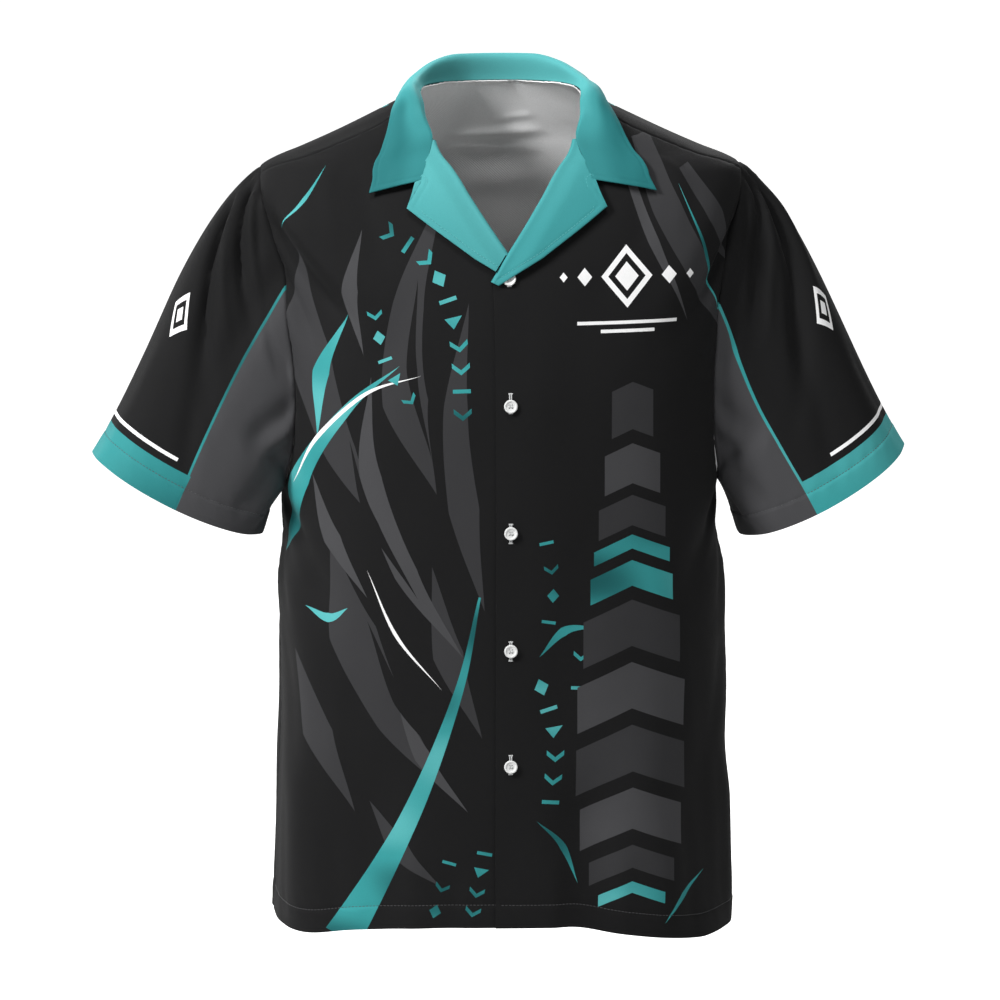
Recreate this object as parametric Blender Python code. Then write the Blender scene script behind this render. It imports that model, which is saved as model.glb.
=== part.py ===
"""A short-sleeved bowling shirt with a camp collar, buttoned up and filled out with air.

All sizes below are millimetres. The origin is midway between the two sides of the neck, at
the height of the shoulders' neck ends: +X is the wearer's left, -Y the front, +Z up.

The body is a stack of rounded rings. A place on its cloth is (girth, run): girth goes round
from the centre front (0) over the wearer's left side (QUARTER) to the centre back
(2 * QUARTER), and run goes along the shoulder line from the neck and then down the side.
Both are close to lengths on the flat cloth, so each panel is cut from a flat outline.
"""

import math

import bmesh
import bpy
import numpy as np
from mathutils import Vector
from mathutils.geometry import delaunay_2d_cdt

METRE = 0.001

# Cloth
CLOTH = 1.2  # thickness of every cloth wall
SEAM_GAP = 0.44  # between two pieces at a seam
OVERLAP_GAP = 0.9  # between the top front and the lower one
BUTTON_GAP = 0.3  # between a button and the cloth under it
PANEL_SPACING = 23.0  # between the points of a body panel
SHOULDER_SPACING = 18.4  # and along the edges that bend more
ARMHOLE_SPACING = 16.1
BACK_NECK_SPACING = 13.8
NECK_SPACING = 11.5
ROW_SHARE = 0.87  # of a panel's spacing, between its rows of points
CLEAR_SHARE = 0.55  # of the spacing, between the edge and the points inside it
SMOOTH_BELOW = 50.0  # degrees
TINY = 1e-9
ROUNDS = 20  # enough for a repeated sum to settle

# Body
QUARTER = 250.0  # girth from the centre front to the side seam
EVENNESS = 0.12  # spaces the girth evenly round a ring that is wider than deep
HEM_Z = -705.5
SHOULDER_POINT_Z = -65.0
UNDERARM_Z = -336.0
ARMHOLE_HALF_WIDTH = 56.0
ARMHOLE_SQUARENESS = 2.7
ARMHOLE_POINTS = 60

# z, half width, front depth, back depth, squareness
BODY_RINGS = (
    (2.0, 63.0, 17.0, 61.0, 0.08),
    (-4.5, 75.0, 24.0, 65.0, 0.08),
    (-19.0, 103.0, 35.0, 72.0, 0.08),
    (-34.0, 135.0, 44.0, 78.0, 0.09),
    (-50.0, 172.0, 53.0, 84.0, 0.10),
    (-61.0, 198.0, 59.0, 87.0, 0.11),
    (-68.0, 207.0, 63.0, 89.0, 0.12),
    (-84.0, 211.0, 71.0, 93.0, 0.13),
    (-108.0, 211.0, 81.0, 99.0, 0.14),
    (-142.0, 205.0, 92.0, 104.0, 0.14),
    (-174.0, 198.0, 100.0, 108.0, 0.14),
    (-212.0, 193.0, 107.0, 111.0, 0.14),
    (-260.0, 190.0, 112.0, 113.0, 0.14),
    (-334.0, 187.5, 114.0, 112.0, 0.14),
    (-400.0, 188.5, 114.0, 109.0, 0.14),
    (-500.0, 191.0, 113.0, 107.0, 0.14),
    (-600.0, 195.0, 113.0, 108.0, 0.14),
    (-730.0, 199.0, 114.0, 110.0, 0.14),
)

# Soft folds of the body cloth, from one end to the other:
# girth 1, z 1, girth 2, z 2, half width, height (a trough is negative)
BODY_FOLDS = (
    (236.0, -352.0, 150.0, -420.0, 22.0, -5.0),
    (252.0, -400.0, 250.0, -560.0, 42.0, 4.0),
    (196.0, -104.0, 150.0, -200.0, 18.0, -4.0),
    (168.0, -84.0, 118.0, -190.0, 20.0, 3.0),
    (172.0, -500.0, 186.0, -740.0, 30.0, -5.0),
    (228.0, -580.0, 236.0, -740.0, 28.0, 4.0),
    (112.0, -540.0, 126.0, -740.0, 30.0, 5.0),
    (58.0, -580.0, 64.0, -740.0, 26.0, -4.0),
    (-238.0, -352.0, -150.0, -428.0, 22.0, -5.0),
    (-230.0, -392.0, -160.0, -500.0, 26.0, 4.0),
    (-198.0, -102.0, -144.0, -208.0, 19.0, -4.5),
    (-168.0, -88.0, -112.0, -190.0, 20.0, 3.0),
    (-190.0, -540.0, -176.0, -740.0, 30.0, 5.0),
    (-240.0, -500.0, -232.0, -740.0, 24.0, -4.0),
    (-112.0, -560.0, -104.0, -740.0, 30.0, -4.0),
    (264.0, -352.0, 352.0, -432.0, 23.0, -4.5),
    (292.0, -392.0, 346.0, -500.0, 26.0, 4.0),
    (-264.0, -352.0, -346.0, -442.0, 23.0, -4.0),
    (-288.0, -384.0, -340.0, -510.0, 26.0, 4.0),
    (322.0, -500.0, 312.0, -740.0, 30.0, 4.5),
    (392.0, -560.0, 402.0, -740.0, 30.0, -4.5),
    (-318.0, -520.0, -306.0, -740.0, 30.0, 4.5),
    (-382.0, -580.0, -396.0, -740.0, 30.0, -4.5),
    (452.0, -44.0, 548.0, -48.0, 12.0, -2.6),
    (462.0, -72.0, 530.0, -70.0, 12.0, 2.2),
)
# Shares of a fold's length over which it comes up, and over which it dies away
BODY_FOLD_ENDS = ((-0.15, 0.25), (0.7, 1.25))

# The hem's own drop: girth, how far it hangs below HEM_Z
HEM_DROPS = (
    (-500.0, 5.0),
    (-380.0, 3.0),
    (-262.0, 3.0),
    (-225.0, 8.0),
    (-175.0, 10.0),
    (-120.0, 3.0),
    (-50.0, -1.0),
    (45.0, 0.0),
    (85.0, 8.0),
    (125.0, 15.0),
    (175.0, 21.0),
    (225.0, 20.0),
    (262.0, 12.0),
    (380.0, 3.0),
    (500.0, 5.0),
)

# Front edges
OVERLAP = 13.0  # each front passes the centre by this much
BREAK_Z = -156.0  # where the overlap edge turns out into the lapel
OVERLAP_START = 17.5  # girth at which the top front starts to come down to the body
OVERLAP_BLEND = 48.0  # and the width that it needs for that
# x, z of places on the front, given for the wearer's left
ROLL_TOP = (60.5, -39.0)
NOTCH = (71.5, -73.0)
LAPEL_POINT = (84.0, -94.0)
LAPEL_LOW = (28.0, -135.0)
FRONT_NECK = ((66.5, -22.0), (67.5, -11.0))
SHOULDER_SEAM = ((70.5, -7.5), (88.0, -19.0), (110.0, -31.0), (140.0, -43.5), (170.0, -55.0))
SEAM_FORWARD = 14.0  # the shoulder seam's end lies this far in front of the ridge
BACK_NECK_Z = 1.0
# angle round from the centre front, z
BACK_NECK = (
    (160.0, 1.0),
    (140.0, 1.0),
    (120.0, 1.0),
    (100.0, 0.6),
    (85.0, -0.6),
    (70.0, -3.0),
)

# Lapel
ROLL_RADIUS = 2.6  # of the fold's mid line
ROLL_UNDER = 3.0  # turned back inside the front
LEAST_UNDER = 0.5
LEAST_FOLD = 0.42  # share of a half turn that the upper lapel's fold has at its lower end
FOLD_OPENS = (0.17, 0.38)  # places along the break between which the fold gets its half turn
UNDER_TAPER = 4.0  # how fast that runs out at the top of the break
LAPEL_RISE = 2.3  # height above the fold's top
LAPEL_RISE_WIDTH = 4.0  # gained within this width
LAPEL_UPPER_START = 0.5  # share of the break above which the lapel lies closer
LAPEL_UPPER_DROP = 0.45  # share of its height that it gives up
LAPEL_START = 1.5  # along the break from its lower end to the upper lapel
LAPEL_TIP = 3.5  # width of the lapel's lower tip
LAPEL_TUCK = 1.6  # the lower lapel ends this far from the upper one's folded edge
LAPEL_LONG_COLUMNS = 10  # along the lower edge
LAPEL_SHORT_COLUMNS = 3  # from its point to the notch
LAPEL_ROWS = 6
GORGE_GAP = 0.9  # between the lapel and the collar
BREAK_TOP_GAP = 2.6  # between them along the break
BOW_POWER = 4  # how fast the gorge's bow dies away from column to column
LAPEL_BEND_ROWS = 5

# Collar, from the centre back to the notch:
# seam angle, seam z, stand, lean, edge angle, edge z, edge lift
COLLAR_STATIONS = (
    (180.0, 1.0, 22.0, 2.5, 180.0, -13.0, 4.0),
    (155.0, 1.0, 22.0, 2.5, 158.0, -14.5, 4.0),
    (130.0, 1.0, 17.5, 2.5, 138.0, -14.0, 4.0),
    (110.0, 0.6, 11.5, 4.0, 118.0, -11.5, 4.0),
    (90.0, -0.2, 7.0, 6.5, 97.0, -9.5, 4.0),
    (70.0, -3.0, 6.0, 7.5, 75.0, -12.5, 4.0),
    (51.0, -9.0, 5.0, 8.0, 56.0, -22.0, 4.5),
    (35.5, -21.0, 3.6, 6.0, 42.0, -37.0, 5.0),
    (22.8, -38.5, 1.0, 1.5, 33.4, -56.0, 5.0),
    (19.3, -57.0, 0.0, 0.0, 30.9, -70.5, 4.5),
    (17.8, -73.0, 0.0, 0.0, 31.7, -82.5, 4.0),
)
ROLL_TOP_STATION = 0.8  # where the collar's seam passes the top of the lapel's break
ON_LAPEL_START = 0.64  # from here the collar comes down to lie on the lapel
COLLAR_TUCK_IN = 0.6  # the collar starts this far inside the break
COLLAR_SHIFT = 1.9  # the points sit this many degrees to the wearer's left
SHIFT_START = 0.55  # station where that begins
COLLAR_COLUMNS = 14  # from the centre back to the top of the break
COLLAR_SEAM_RISE = 1.1  # the collar's lower edge over the neckline
STAND_ROWS = 4
COLLAR_END_GAP = 0.004
FALL_ROWS = 8
LEAST_STAND_SHARE = 0.14  # of the rows' spacing where the stand has run out
STAND_BEND = 0.4
ROLL_SHARE = 0.18  # of the fall's length, how far the roll at the crest reaches
ROLL_FULLNESS = 1.3
FLAT_REACH = 0.33  # of the fall's length, where there is no roll
FLAT_RISE = 1.5
EDGE_REACH = 0.30
EDGE_RISE = 3.0
SECTION_POINTS = 41

# Sleeve, for the wearer's left
# outer and inner end of the cuff's opening
CUFFS = {
    "sleeve_left": ((348.0, 0.0, -308.0), (206.5, 0.0, -384.0)),
    "sleeve_right": ((349.0, 0.0, -307.0), (205.0, 0.0, -377.0)),
}
CUFF_HALF_DEPTH = 62.0
CUFF_SQUARENESS = 0.10
CUFF_FRONT_DROP = 8.0
CUFF_FORWARD = -4.0
SLEEVE_START = 1.8  # from the armhole's line to the sleeve's first ring
SLEEVE_RINGS = 12
SLEEVE_SIDES = 42
CAP_DIRECTION = (0.84, 0.0, -0.54)
CAP_FULLNESS = 0.74
SLEEVE_DIRECTION = (0.47, 0.0, -0.883)
SIDE_LEAVE = 0.35  # how much the underarm side leaves the body straight out
UNDER_PULL = 1.05
CUFF_FLARE = 0.08
MM_PER_TURN = 1.28  # of flat cloth to each degree
SLEEVE_LENGTH = 235.0  # from armhole to cuff down the outer side
# Soft folds: turn 1 (0 top, 90 front, 180 underarm, 270 back), along 1, turn 2, along 2,
# half width, height
SLEEVE_FOLDS = (
    (14.0, 0.10, 78.0, 0.60, 11.0, -4.5),
    (16.0, 0.04, 78.0, 0.24, 11.0, -4.0),
    (150.0, 0.02, 108.0, 0.44, 12.0, -4.0),
    (160.0, 0.10, 136.0, 0.92, 13.0, 3.5),
    (343.0, 0.10, 292.0, 0.62, 12.0, -4.5),
    (330.0, 0.04, 284.0, 0.34, 11.0, 3.0),
    (214.0, 0.04, 248.0, 0.60, 12.0, -4.0),
)
SLEEVE_FOLD_ENDS = ((-0.15, 0.2), (0.7, 1.2))

# Buttons
BUTTON_RADIUS = 5.7
BUTTON_HEIGHT = 2.2
BUTTON_DISH = 0.6
BUTTON_RIM = 1.3
BUTTON_SLOPE = 0.6  # from the dish up to the rim
BUTTON_ROUND = (0.4, 0.5)  # at the rim's outer edge: inward, down
BUTTON_FOOT = 0.5
BUTTON_HOLE_RADIUS = 0.8
BUTTON_HOLE_OFFSET = 1.6
BUTTON_HOLE_SIDES = 6
BUTTON_SIDES = 16
BUTTON_ZS = (-151.0, -255.5, -363.0, -464.0, -564.0)

BLACK_CLOTH = (0.018, 0.018, 0.019, 1.0)
TEAL_CLOTH = (0.045, 0.36, 0.36, 1.0)
WHITE_RESIN = (0.82, 0.82, 0.80, 1.0)


def smooth_through(xs, ys, at):
    """A smooth curve through the points (xs, ys) that never overshoots them, read at `at`."""
    xs, ys = np.asarray(xs, float), np.asarray(ys, float)
    if xs[0] > xs[-1]:
        xs, ys = xs[::-1], ys[::-1]
    steps = np.diff(xs)
    slopes = np.diff(ys) / steps
    tangents = np.zeros(len(xs))
    same = slopes[:-1] * slopes[1:] > 0
    w1, w2 = 2 * steps[1:] + steps[:-1], steps[1:] + 2 * steps[:-1]
    safe1, safe2 = np.where(same, slopes[:-1], 1.0), np.where(same, slopes[1:], 1.0)
    tangents[1:-1] = np.where(same, (w1 + w2) / (w1 / safe1 + w2 / safe2), 0.0)
    tangents[0], tangents[-1] = slopes[0], slopes[-1]
    at = np.asarray(at, float)
    inside = np.clip(at, xs[0], xs[-1])
    i = np.clip(np.searchsorted(xs, inside) - 1, 0, len(steps) - 1)
    h, t = steps[i], (inside - xs[i]) / steps[i]
    value = (
        (1 + 2 * t) * (1 - t) ** 2 * ys[i]
        + t * (1 - t) ** 2 * h * tangents[i]
        + t * t * (3 - 2 * t) * ys[i + 1]
        + t * t * (t - 1) * h * tangents[i + 1]
    )
    beyond = np.where(at < xs[0], tangents[0], tangents[-1]) * (at - inside)
    return value + beyond


def smooth_step(low, high, value):
    t = np.clip((value - low) / (high - low), 0.0, 1.0)
    return t * t * (3 - 2 * t)


def unit(vectors):
    return vectors / np.maximum(np.linalg.norm(vectors, axis=-1, keepdims=True), TINY)


# --- the body's surface ---------------------------------------------------------------

RINGS = np.array(BODY_RINGS)
RING_RUNS = np.concatenate(
    [[0.0], np.cumsum(np.hypot(np.diff(RINGS[:, 1]), np.diff(RINGS[:, 0])))]
)
FINE_RUNS = np.linspace(0.0, RING_RUNS[-1], 3000)
FINE_RINGS = np.stack(
    [smooth_through(RING_RUNS, RINGS[:, column], FINE_RUNS) for column in range(5)], axis=1
)


def run_at(z):
    """How far along the shoulder and down the side the level z is."""
    return np.interp(-np.asarray(z, float), -FINE_RINGS[:, 0], FINE_RUNS)


def ring_at(run):
    """z, half width, front depth, back depth and squareness of the ring at this run."""
    return tuple(np.interp(run, FINE_RUNS, FINE_RINGS[:, column]) for column in range(5))


def girth_at(angle):
    """The girth of the angle round the ring, in degrees from the centre front."""
    angle = np.radians(angle)
    even = angle
    for _ in range(ROUNDS):
        even = angle + EVENNESS * np.sin(2 * even)
    return even * QUARTER * 2 / math.pi


def plain_body(girth, run):
    """Points of the body's cloth with no fold in it."""
    even = np.asarray(girth, float) / QUARTER * math.pi / 2
    angle = even - EVENNESS * np.sin(2 * even)
    z, width, front, back, square = ring_at(run)
    sine, cosine = np.sin(angle), np.cos(angle)
    depth = np.where(cosine > 0, front, back)
    x = width * sine * (1 + square * cosine**2)
    y = -depth * cosine * (1 + square * sine**2)
    return np.stack([x, y, z + 0 * x], axis=-1)


def normals_of(surface, girth, run, step=1.0):
    across = surface(girth + step, run) - surface(girth - step, run)
    down = surface(girth, run + step) - surface(girth, run - step)
    return unit(np.cross(down, across))


def fold_height(girth, run):
    """How far the soft folds push the body's cloth out."""
    total = np.zeros(np.broadcast(girth, run).shape)
    for girth_1, z_1, girth_2, z_2, width, height in BODY_FOLDS:
        run_1, run_2 = run_at(z_1), run_at(z_2)
        long_g, long_r = girth_2 - girth_1, run_2 - run_1
        length = math.hypot(long_g, long_r)
        from_g = (girth - girth_1 + 2 * QUARTER) % (4 * QUARTER) - 2 * QUARTER
        from_r = run - run_1
        along = (from_g * long_g + from_r * long_r) / length**2
        off = (from_g * long_r - from_r * long_g) / length
        ends = smooth_step(*BODY_FOLD_ENDS[0], along) * (1 - smooth_step(*BODY_FOLD_ENDS[1], along))
        total = total + height * np.exp(-((off / width) ** 2)) * ends
    return total


def body(girth, run, lift=0.0):
    """Points of the body's cloth, `lift` above its mid surface."""
    girth, run = np.asarray(girth, float), np.asarray(run, float)
    out = fold_height(girth, run) + lift
    return plain_body(girth, run) + normals_of(plain_body, girth, run) * out[..., None]


def front_place(x, z):
    """(girth, run) of the place on the front with these x and z."""
    run = run_at(z)
    width, square = ring_at(run)[1], ring_at(run)[4]
    sine = np.asarray(x, float) / width
    target = sine
    for _ in range(ROUNDS):
        sine = target / (1 + square * (1 - sine**2))
    return float(girth_at(math.degrees(math.asin(sine)))), float(run)


def hem_run(girth):
    drop = smooth_through(*zip(*HEM_DROPS), (girth + 2 * QUARTER) % (4 * QUARTER) - 2 * QUARTER)
    return float(run_at(HEM_Z - drop))


# --- flat outlines ---------------------------------------------------------------------


def lengths_along(points):
    """How far along an open line each of its points is."""
    return np.concatenate([[0.0], np.cumsum(np.linalg.norm(np.diff(points, axis=0), axis=1))])


def divided(points, count):
    """The same open line as `count` equal stretches."""
    points = np.array(points, float)
    lengths = lengths_along(points)
    at = np.linspace(0.0, lengths[-1], count + 1)
    return list(np.stack([np.interp(at, lengths, points[:, k]) for k in range(2)], axis=1))


def resampled(points, spacing):
    """The same open line with points `spacing` or a little less apart."""
    length = lengths_along(np.array(points, float))[-1]
    return [tuple(place) for place in divided(points, max(1, math.ceil(length / spacing)))]


def armhole_loop(turn, back=False):
    """(girth, run) on the armhole's line: turn 0 is the shoulder point, 180 the underarm."""
    top, bottom = float(run_at(SHOULDER_POINT_Z)), float(run_at(UNDERARM_Z))
    t = math.radians(turn)
    power = 2 / ARMHOLE_SQUARENESS
    across = ARMHOLE_HALF_WIDTH * abs(math.sin(t)) ** power
    up = math.copysign(abs(math.cos(t)) ** power, math.cos(t))
    down = (top + bottom) / 2 - (bottom - top) / 2 * up
    return QUARTER + (across if back else -across), down


def armhole_line(first, last, back=False):
    turns = np.linspace(first, last, ARMHOLE_POINTS)
    return [armhole_loop(turn, back) for turn in turns]


def seam_meets_armhole():
    """The turn on the armhole's front at which the shoulder seam ends."""
    turns = np.linspace(2.0, 60.0, 200)
    places = np.array([armhole_loop(turn) for turn in turns])
    forward = -plain_body(places[:, 0], places[:, 1])[:, 1]
    return float(np.interp(SEAM_FORWARD, forward, turns))


SEAM_TURN = seam_meets_armhole()


def shoulder_seam():
    """From the neck to the armhole, in (girth, run)."""
    line = [front_place(x, z) for x, z in SHOULDER_SEAM]
    return resampled(line + [armhole_loop(SEAM_TURN)], SHOULDER_SPACING)


def side_seam(side):
    """From the underarm down to the hem. `side` is 1 on the wearer's left and -1 on the right."""
    foot = QUARTER, hem_run(side * QUARTER)
    return resampled([(QUARTER, run_at(UNDERARM_Z)), foot], PANEL_SPACING)


def hem_line(first, last, side):
    count = math.ceil(abs(last - first) / PANEL_SPACING)
    return [(girth, hem_run(side * girth)) for girth in np.linspace(first, last, count + 1)]


def front_outline(side):
    """A front, drawn on the wearer's left, counterclockwise seen from outside."""
    edge, _ = front_place(OVERLAP, BREAK_Z)
    foot = (-edge, hem_run(-side * edge))
    turn = front_place(-OVERLAP, BREAK_Z)
    neck = [front_place(*ROLL_TOP)] + [front_place(x, z) for x, z in FRONT_NECK]
    neck.append(front_place(*SHOULDER_SEAM[0]))
    parts = (
        hem_line(-edge, QUARTER, side),
        side_seam(side)[::-1],
        resampled(armhole_line(180.0, SEAM_TURN), ARMHOLE_SPACING),
        shoulder_seam()[::-1],
        resampled(neck[::-1], NECK_SPACING),
        resampled([neck[0], turn], PANEL_SPACING),
        resampled([turn, foot], PANEL_SPACING),
    )
    return [place for part in parts for place in part[:-1]]


def half_back_outline(side):
    """From the neck's centre back over the shoulder and down the side to the hem's middle."""
    neck = [(QUARTER * 2, float(run_at(BACK_NECK_Z)))]
    for angle, z in BACK_NECK:
        neck.append((float(girth_at(angle)), float(run_at(z))))
    neck.append(front_place(*SHOULDER_SEAM[0]))
    parts = (
        resampled(neck, BACK_NECK_SPACING),
        shoulder_seam(),
        resampled(armhole_line(SEAM_TURN, 0.0), ARMHOLE_SPACING),
        resampled(armhole_line(0.0, 180.0, back=True), ARMHOLE_SPACING),
        side_seam(side),
        hem_line(QUARTER, 2 * QUARTER, side),
    )
    return [place for part in parts for place in part[:-1]]


def back_outline():
    """The whole back. Its girth is counted from the wearer's left round to the right."""
    left = half_back_outline(1)
    right = [(4 * QUARTER - girth, run) for girth, run in half_back_outline(-1)]
    return left + [(2 * QUARTER, hem_run(2 * QUARTER))] + right[:0:-1]


def signed_area(outline):
    points = np.array(outline)
    x, y = points[:, 0], -points[:, 1]
    return float((x * np.roll(y, -1) - y * np.roll(x, -1)).sum() / 2)


def inset(outline, distance):
    """The outline moved in by `distance` on every side."""
    least_cosine = 0.4  # a sharp corner moves in no further than this allows
    points = np.array(outline, float)
    if signed_area(outline) < 0:
        points = points[::-1]
    before, after = np.roll(points, 1, axis=0), np.roll(points, -1, axis=0)
    one, two = unit(points - before), unit(after - points)
    # Run grows downward, so "left of the way round" is (run, -girth) of the direction.
    in_1 = np.stack([one[:, 1], -one[:, 0]], axis=1)
    in_2 = np.stack([two[:, 1], -two[:, 0]], axis=1)
    middle = unit(in_1 + in_2)
    stretch = 1 / np.maximum((middle * in_1).sum(axis=1), least_cosine)
    return [tuple(place) for place in points + middle * (distance * stretch)[:, None]]


def inner_places(outline, spacing):
    """A staggered grid of places inside the outline and clear of its edge."""
    points = np.array(outline)
    low, high = points.min(axis=0), points.max(axis=0)
    rows = np.arange(low[1] + spacing / 2, high[1], spacing * ROW_SHARE)
    found = []
    ends = np.roll(points, -1, axis=0)
    for number, run in enumerate(rows):
        shift = spacing / 2 * (number % 2)
        for girth in np.arange(low[0] + shift, high[0], spacing):
            place = np.array([girth, run])
            crosses = (points[:, 1] > run) != (ends[:, 1] > run)
            at = points[:, 0] + (run - points[:, 1]) * (ends[:, 0] - points[:, 0]) / np.where(
                ends[:, 1] == points[:, 1], TINY, ends[:, 1] - points[:, 1]
            )
            if (crosses & (at > girth)).sum() % 2 == 0:
                continue
            line = ends - points
            t = ((place - points) * line).sum(axis=1) / np.maximum((line**2).sum(axis=1), TINY)
            near = points + line * np.clip(t, 0, 1)[:, None]
            if np.linalg.norm(near - place, axis=1).min() > spacing * CLEAR_SHARE:
                found.append((girth, run))
    return found


def cut_flat(outline, spacing):
    """(places, triangles) of a flat piece, triangles counterclockwise seen from outside."""
    places = list(outline) + inner_places(outline, spacing)
    flat = [Vector((girth, -run)) for girth, run in places]
    ring = list(range(len(outline)))
    found = delaunay_2d_cdt(flat, [], [ring], 1, 1e-4)
    places = np.array([(v.x, -v.y) for v in found[0]])
    return places, [tuple(face) for face in found[2]]


# --- meshes ----------------------------------------------------------------------------


def cloth_material(name, colour, roughness):
    material = bpy.data.materials.new(name)
    material.use_nodes = True
    shader = material.node_tree.nodes["Principled BSDF"]
    shader.inputs["Base Color"].default_value = colour
    shader.inputs["Roughness"].default_value = roughness
    shader.inputs["Metallic"].default_value = 0.0
    return material


def add_object(name, points, faces, material):
    mesh = bpy.data.meshes.new(name)
    mesh.from_pydata([tuple(p * METRE) for p in points], [], faces)
    mesh.materials.append(material)
    mesh.validate()
    made = bmesh.new()
    made.from_mesh(mesh)
    bmesh.ops.recalc_face_normals(made, faces=made.faces)
    made.to_mesh(mesh)
    made.free()
    mesh.shade_smooth()
    mesh.set_sharp_from_angle(angle=math.radians(SMOOTH_BELOW))
    piece = bpy.data.objects.new(name, mesh)
    bpy.context.collection.objects.link(piece)
    return piece


def wall(name, outer, inner, triangles, material):
    """A closed wall between two copies of the same triangles."""
    count = len(outer)
    faces = [tuple(face) for face in triangles]
    faces += [tuple(count + i for i in face[::-1]) for face in triangles]
    used = {}
    for face in triangles:
        for a, b in zip(face, face[1:] + face[:1]):
            used[(a, b)] = True
    for a, b in used:
        if (b, a) not in used:
            faces.append((a, count + a, count + b))
            faces.append((a, count + b, b))
    return add_object(name, np.concatenate([outer, inner]), faces, material)


def mirrored(points):
    return points * np.array([-1.0, 1.0, 1.0])


def turned(triangles):
    return [tuple(face[::-1]) for face in triangles]


def body_wall(name, places, triangles, lift, material):
    """A panel on the body: `lift` gives its mid surface's height at each place."""
    girth, run = places[:, 0], places[:, 1]
    mid = body(girth, run, lift(girth, run))

    def lifted(g, r):
        return body(g, r, lift(g, r))

    out = normals_of(lifted, girth, run)
    half = CLOTH / 2
    return wall(name, mid + out * half, mid - out * half, triangles, material)


# --- body panels -----------------------------------------------------------------------


def overlap_lift(girth, run):
    """The top front rides over the lower one near the centre front."""
    height = CLOTH + OVERLAP_GAP
    return height * (1 - smooth_step(OVERLAP_START, OVERLAP_START + OVERLAP_BLEND, girth))


def no_lift(girth, run):
    return np.zeros(np.broadcast(girth, run).shape)


def build_fronts(material):
    for name, side, lift in (("front_left", 1, overlap_lift), ("front_right", -1, no_lift)):
        places, triangles = cut_flat(inset(front_outline(side), SEAM_GAP / 2), PANEL_SPACING)
        places = places * np.array([side, 1.0])
        body_wall(name, places, triangles if side > 0 else turned(triangles), lift, material)


def build_back(material):
    outline = inset(back_outline(), SEAM_GAP / 2)
    places, triangles = cut_flat(outline, PANEL_SPACING)
    body_wall("back", places, triangles, no_lift, material)


# --- lapels ----------------------------------------------------------------------------


def roll_line():
    """The break: its lower end, its upper end and the unit directions along it and out."""
    low, top = np.array(front_place(-OVERLAP, BREAK_Z)), np.array(front_place(*ROLL_TOP))
    along = (top - low) / np.linalg.norm(top - low)
    out = np.array([-along[1], along[0]])
    return low, top, along, out


def gorge_place(share):
    """A place on the seam between collar and lapel, from the break out to the notch."""
    start, end = np.array(ROLL_TOP), np.array(NOTCH)
    return np.array(front_place(*(start + (end - start) * share)))


def lapel_height(places):
    """How far a lapel's mid surface stands over the front, `out` of the break."""
    low, top, along, out = roll_line()
    s, w = (places - low) @ along, (places - low) @ out
    upper = smooth_step(LAPEL_UPPER_START, 1.0, s / np.linalg.norm(top - low))
    rise = LAPEL_RISE * smooth_step(0.0, LAPEL_RISE_WIDTH, w) * (1 - LAPEL_UPPER_DROP * upper)
    angle = np.clip(-w / ROLL_RADIUS, 0.0, math.pi)
    return np.where(w >= 0, ROLL_RADIUS + rise, ROLL_RADIUS * np.cos(angle))


def lapel_surface(places, base_lift):
    """Points of a lapel: its flat width from the break is wrapped round the front's edge."""
    low, top, along, out = roll_line()
    s, w = (places - low) @ along, (places - low) @ out
    angle = np.clip(-w / ROLL_RADIUS, 0.0, math.pi)
    under = np.maximum(-w - math.pi * ROLL_RADIUS, 0.0)
    flat_w = np.where(w >= 0, w, -ROLL_RADIUS * np.sin(angle) + under)
    place = low + s[:, None] * along + flat_w[:, None] * out
    lift = base_lift(place[:, 0], place[:, 1]) + lapel_height(places)
    return body(place[:, 0], place[:, 1], lift)


def tuck_line_cut(one, two):
    """Where the line from one to two passes the limit that the upper lapel leaves."""
    low, _, _, out = roll_line()
    mirror_low, mirror_out = low * (-1, 1), out * (-1, 1)
    limit = LAPEL_TUCK + ROLL_RADIUS
    d1, d2 = (-(point - mirror_low) @ mirror_out - limit for point in (one, two))
    return one + (two - one) * d1 / (d1 - d2)


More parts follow.
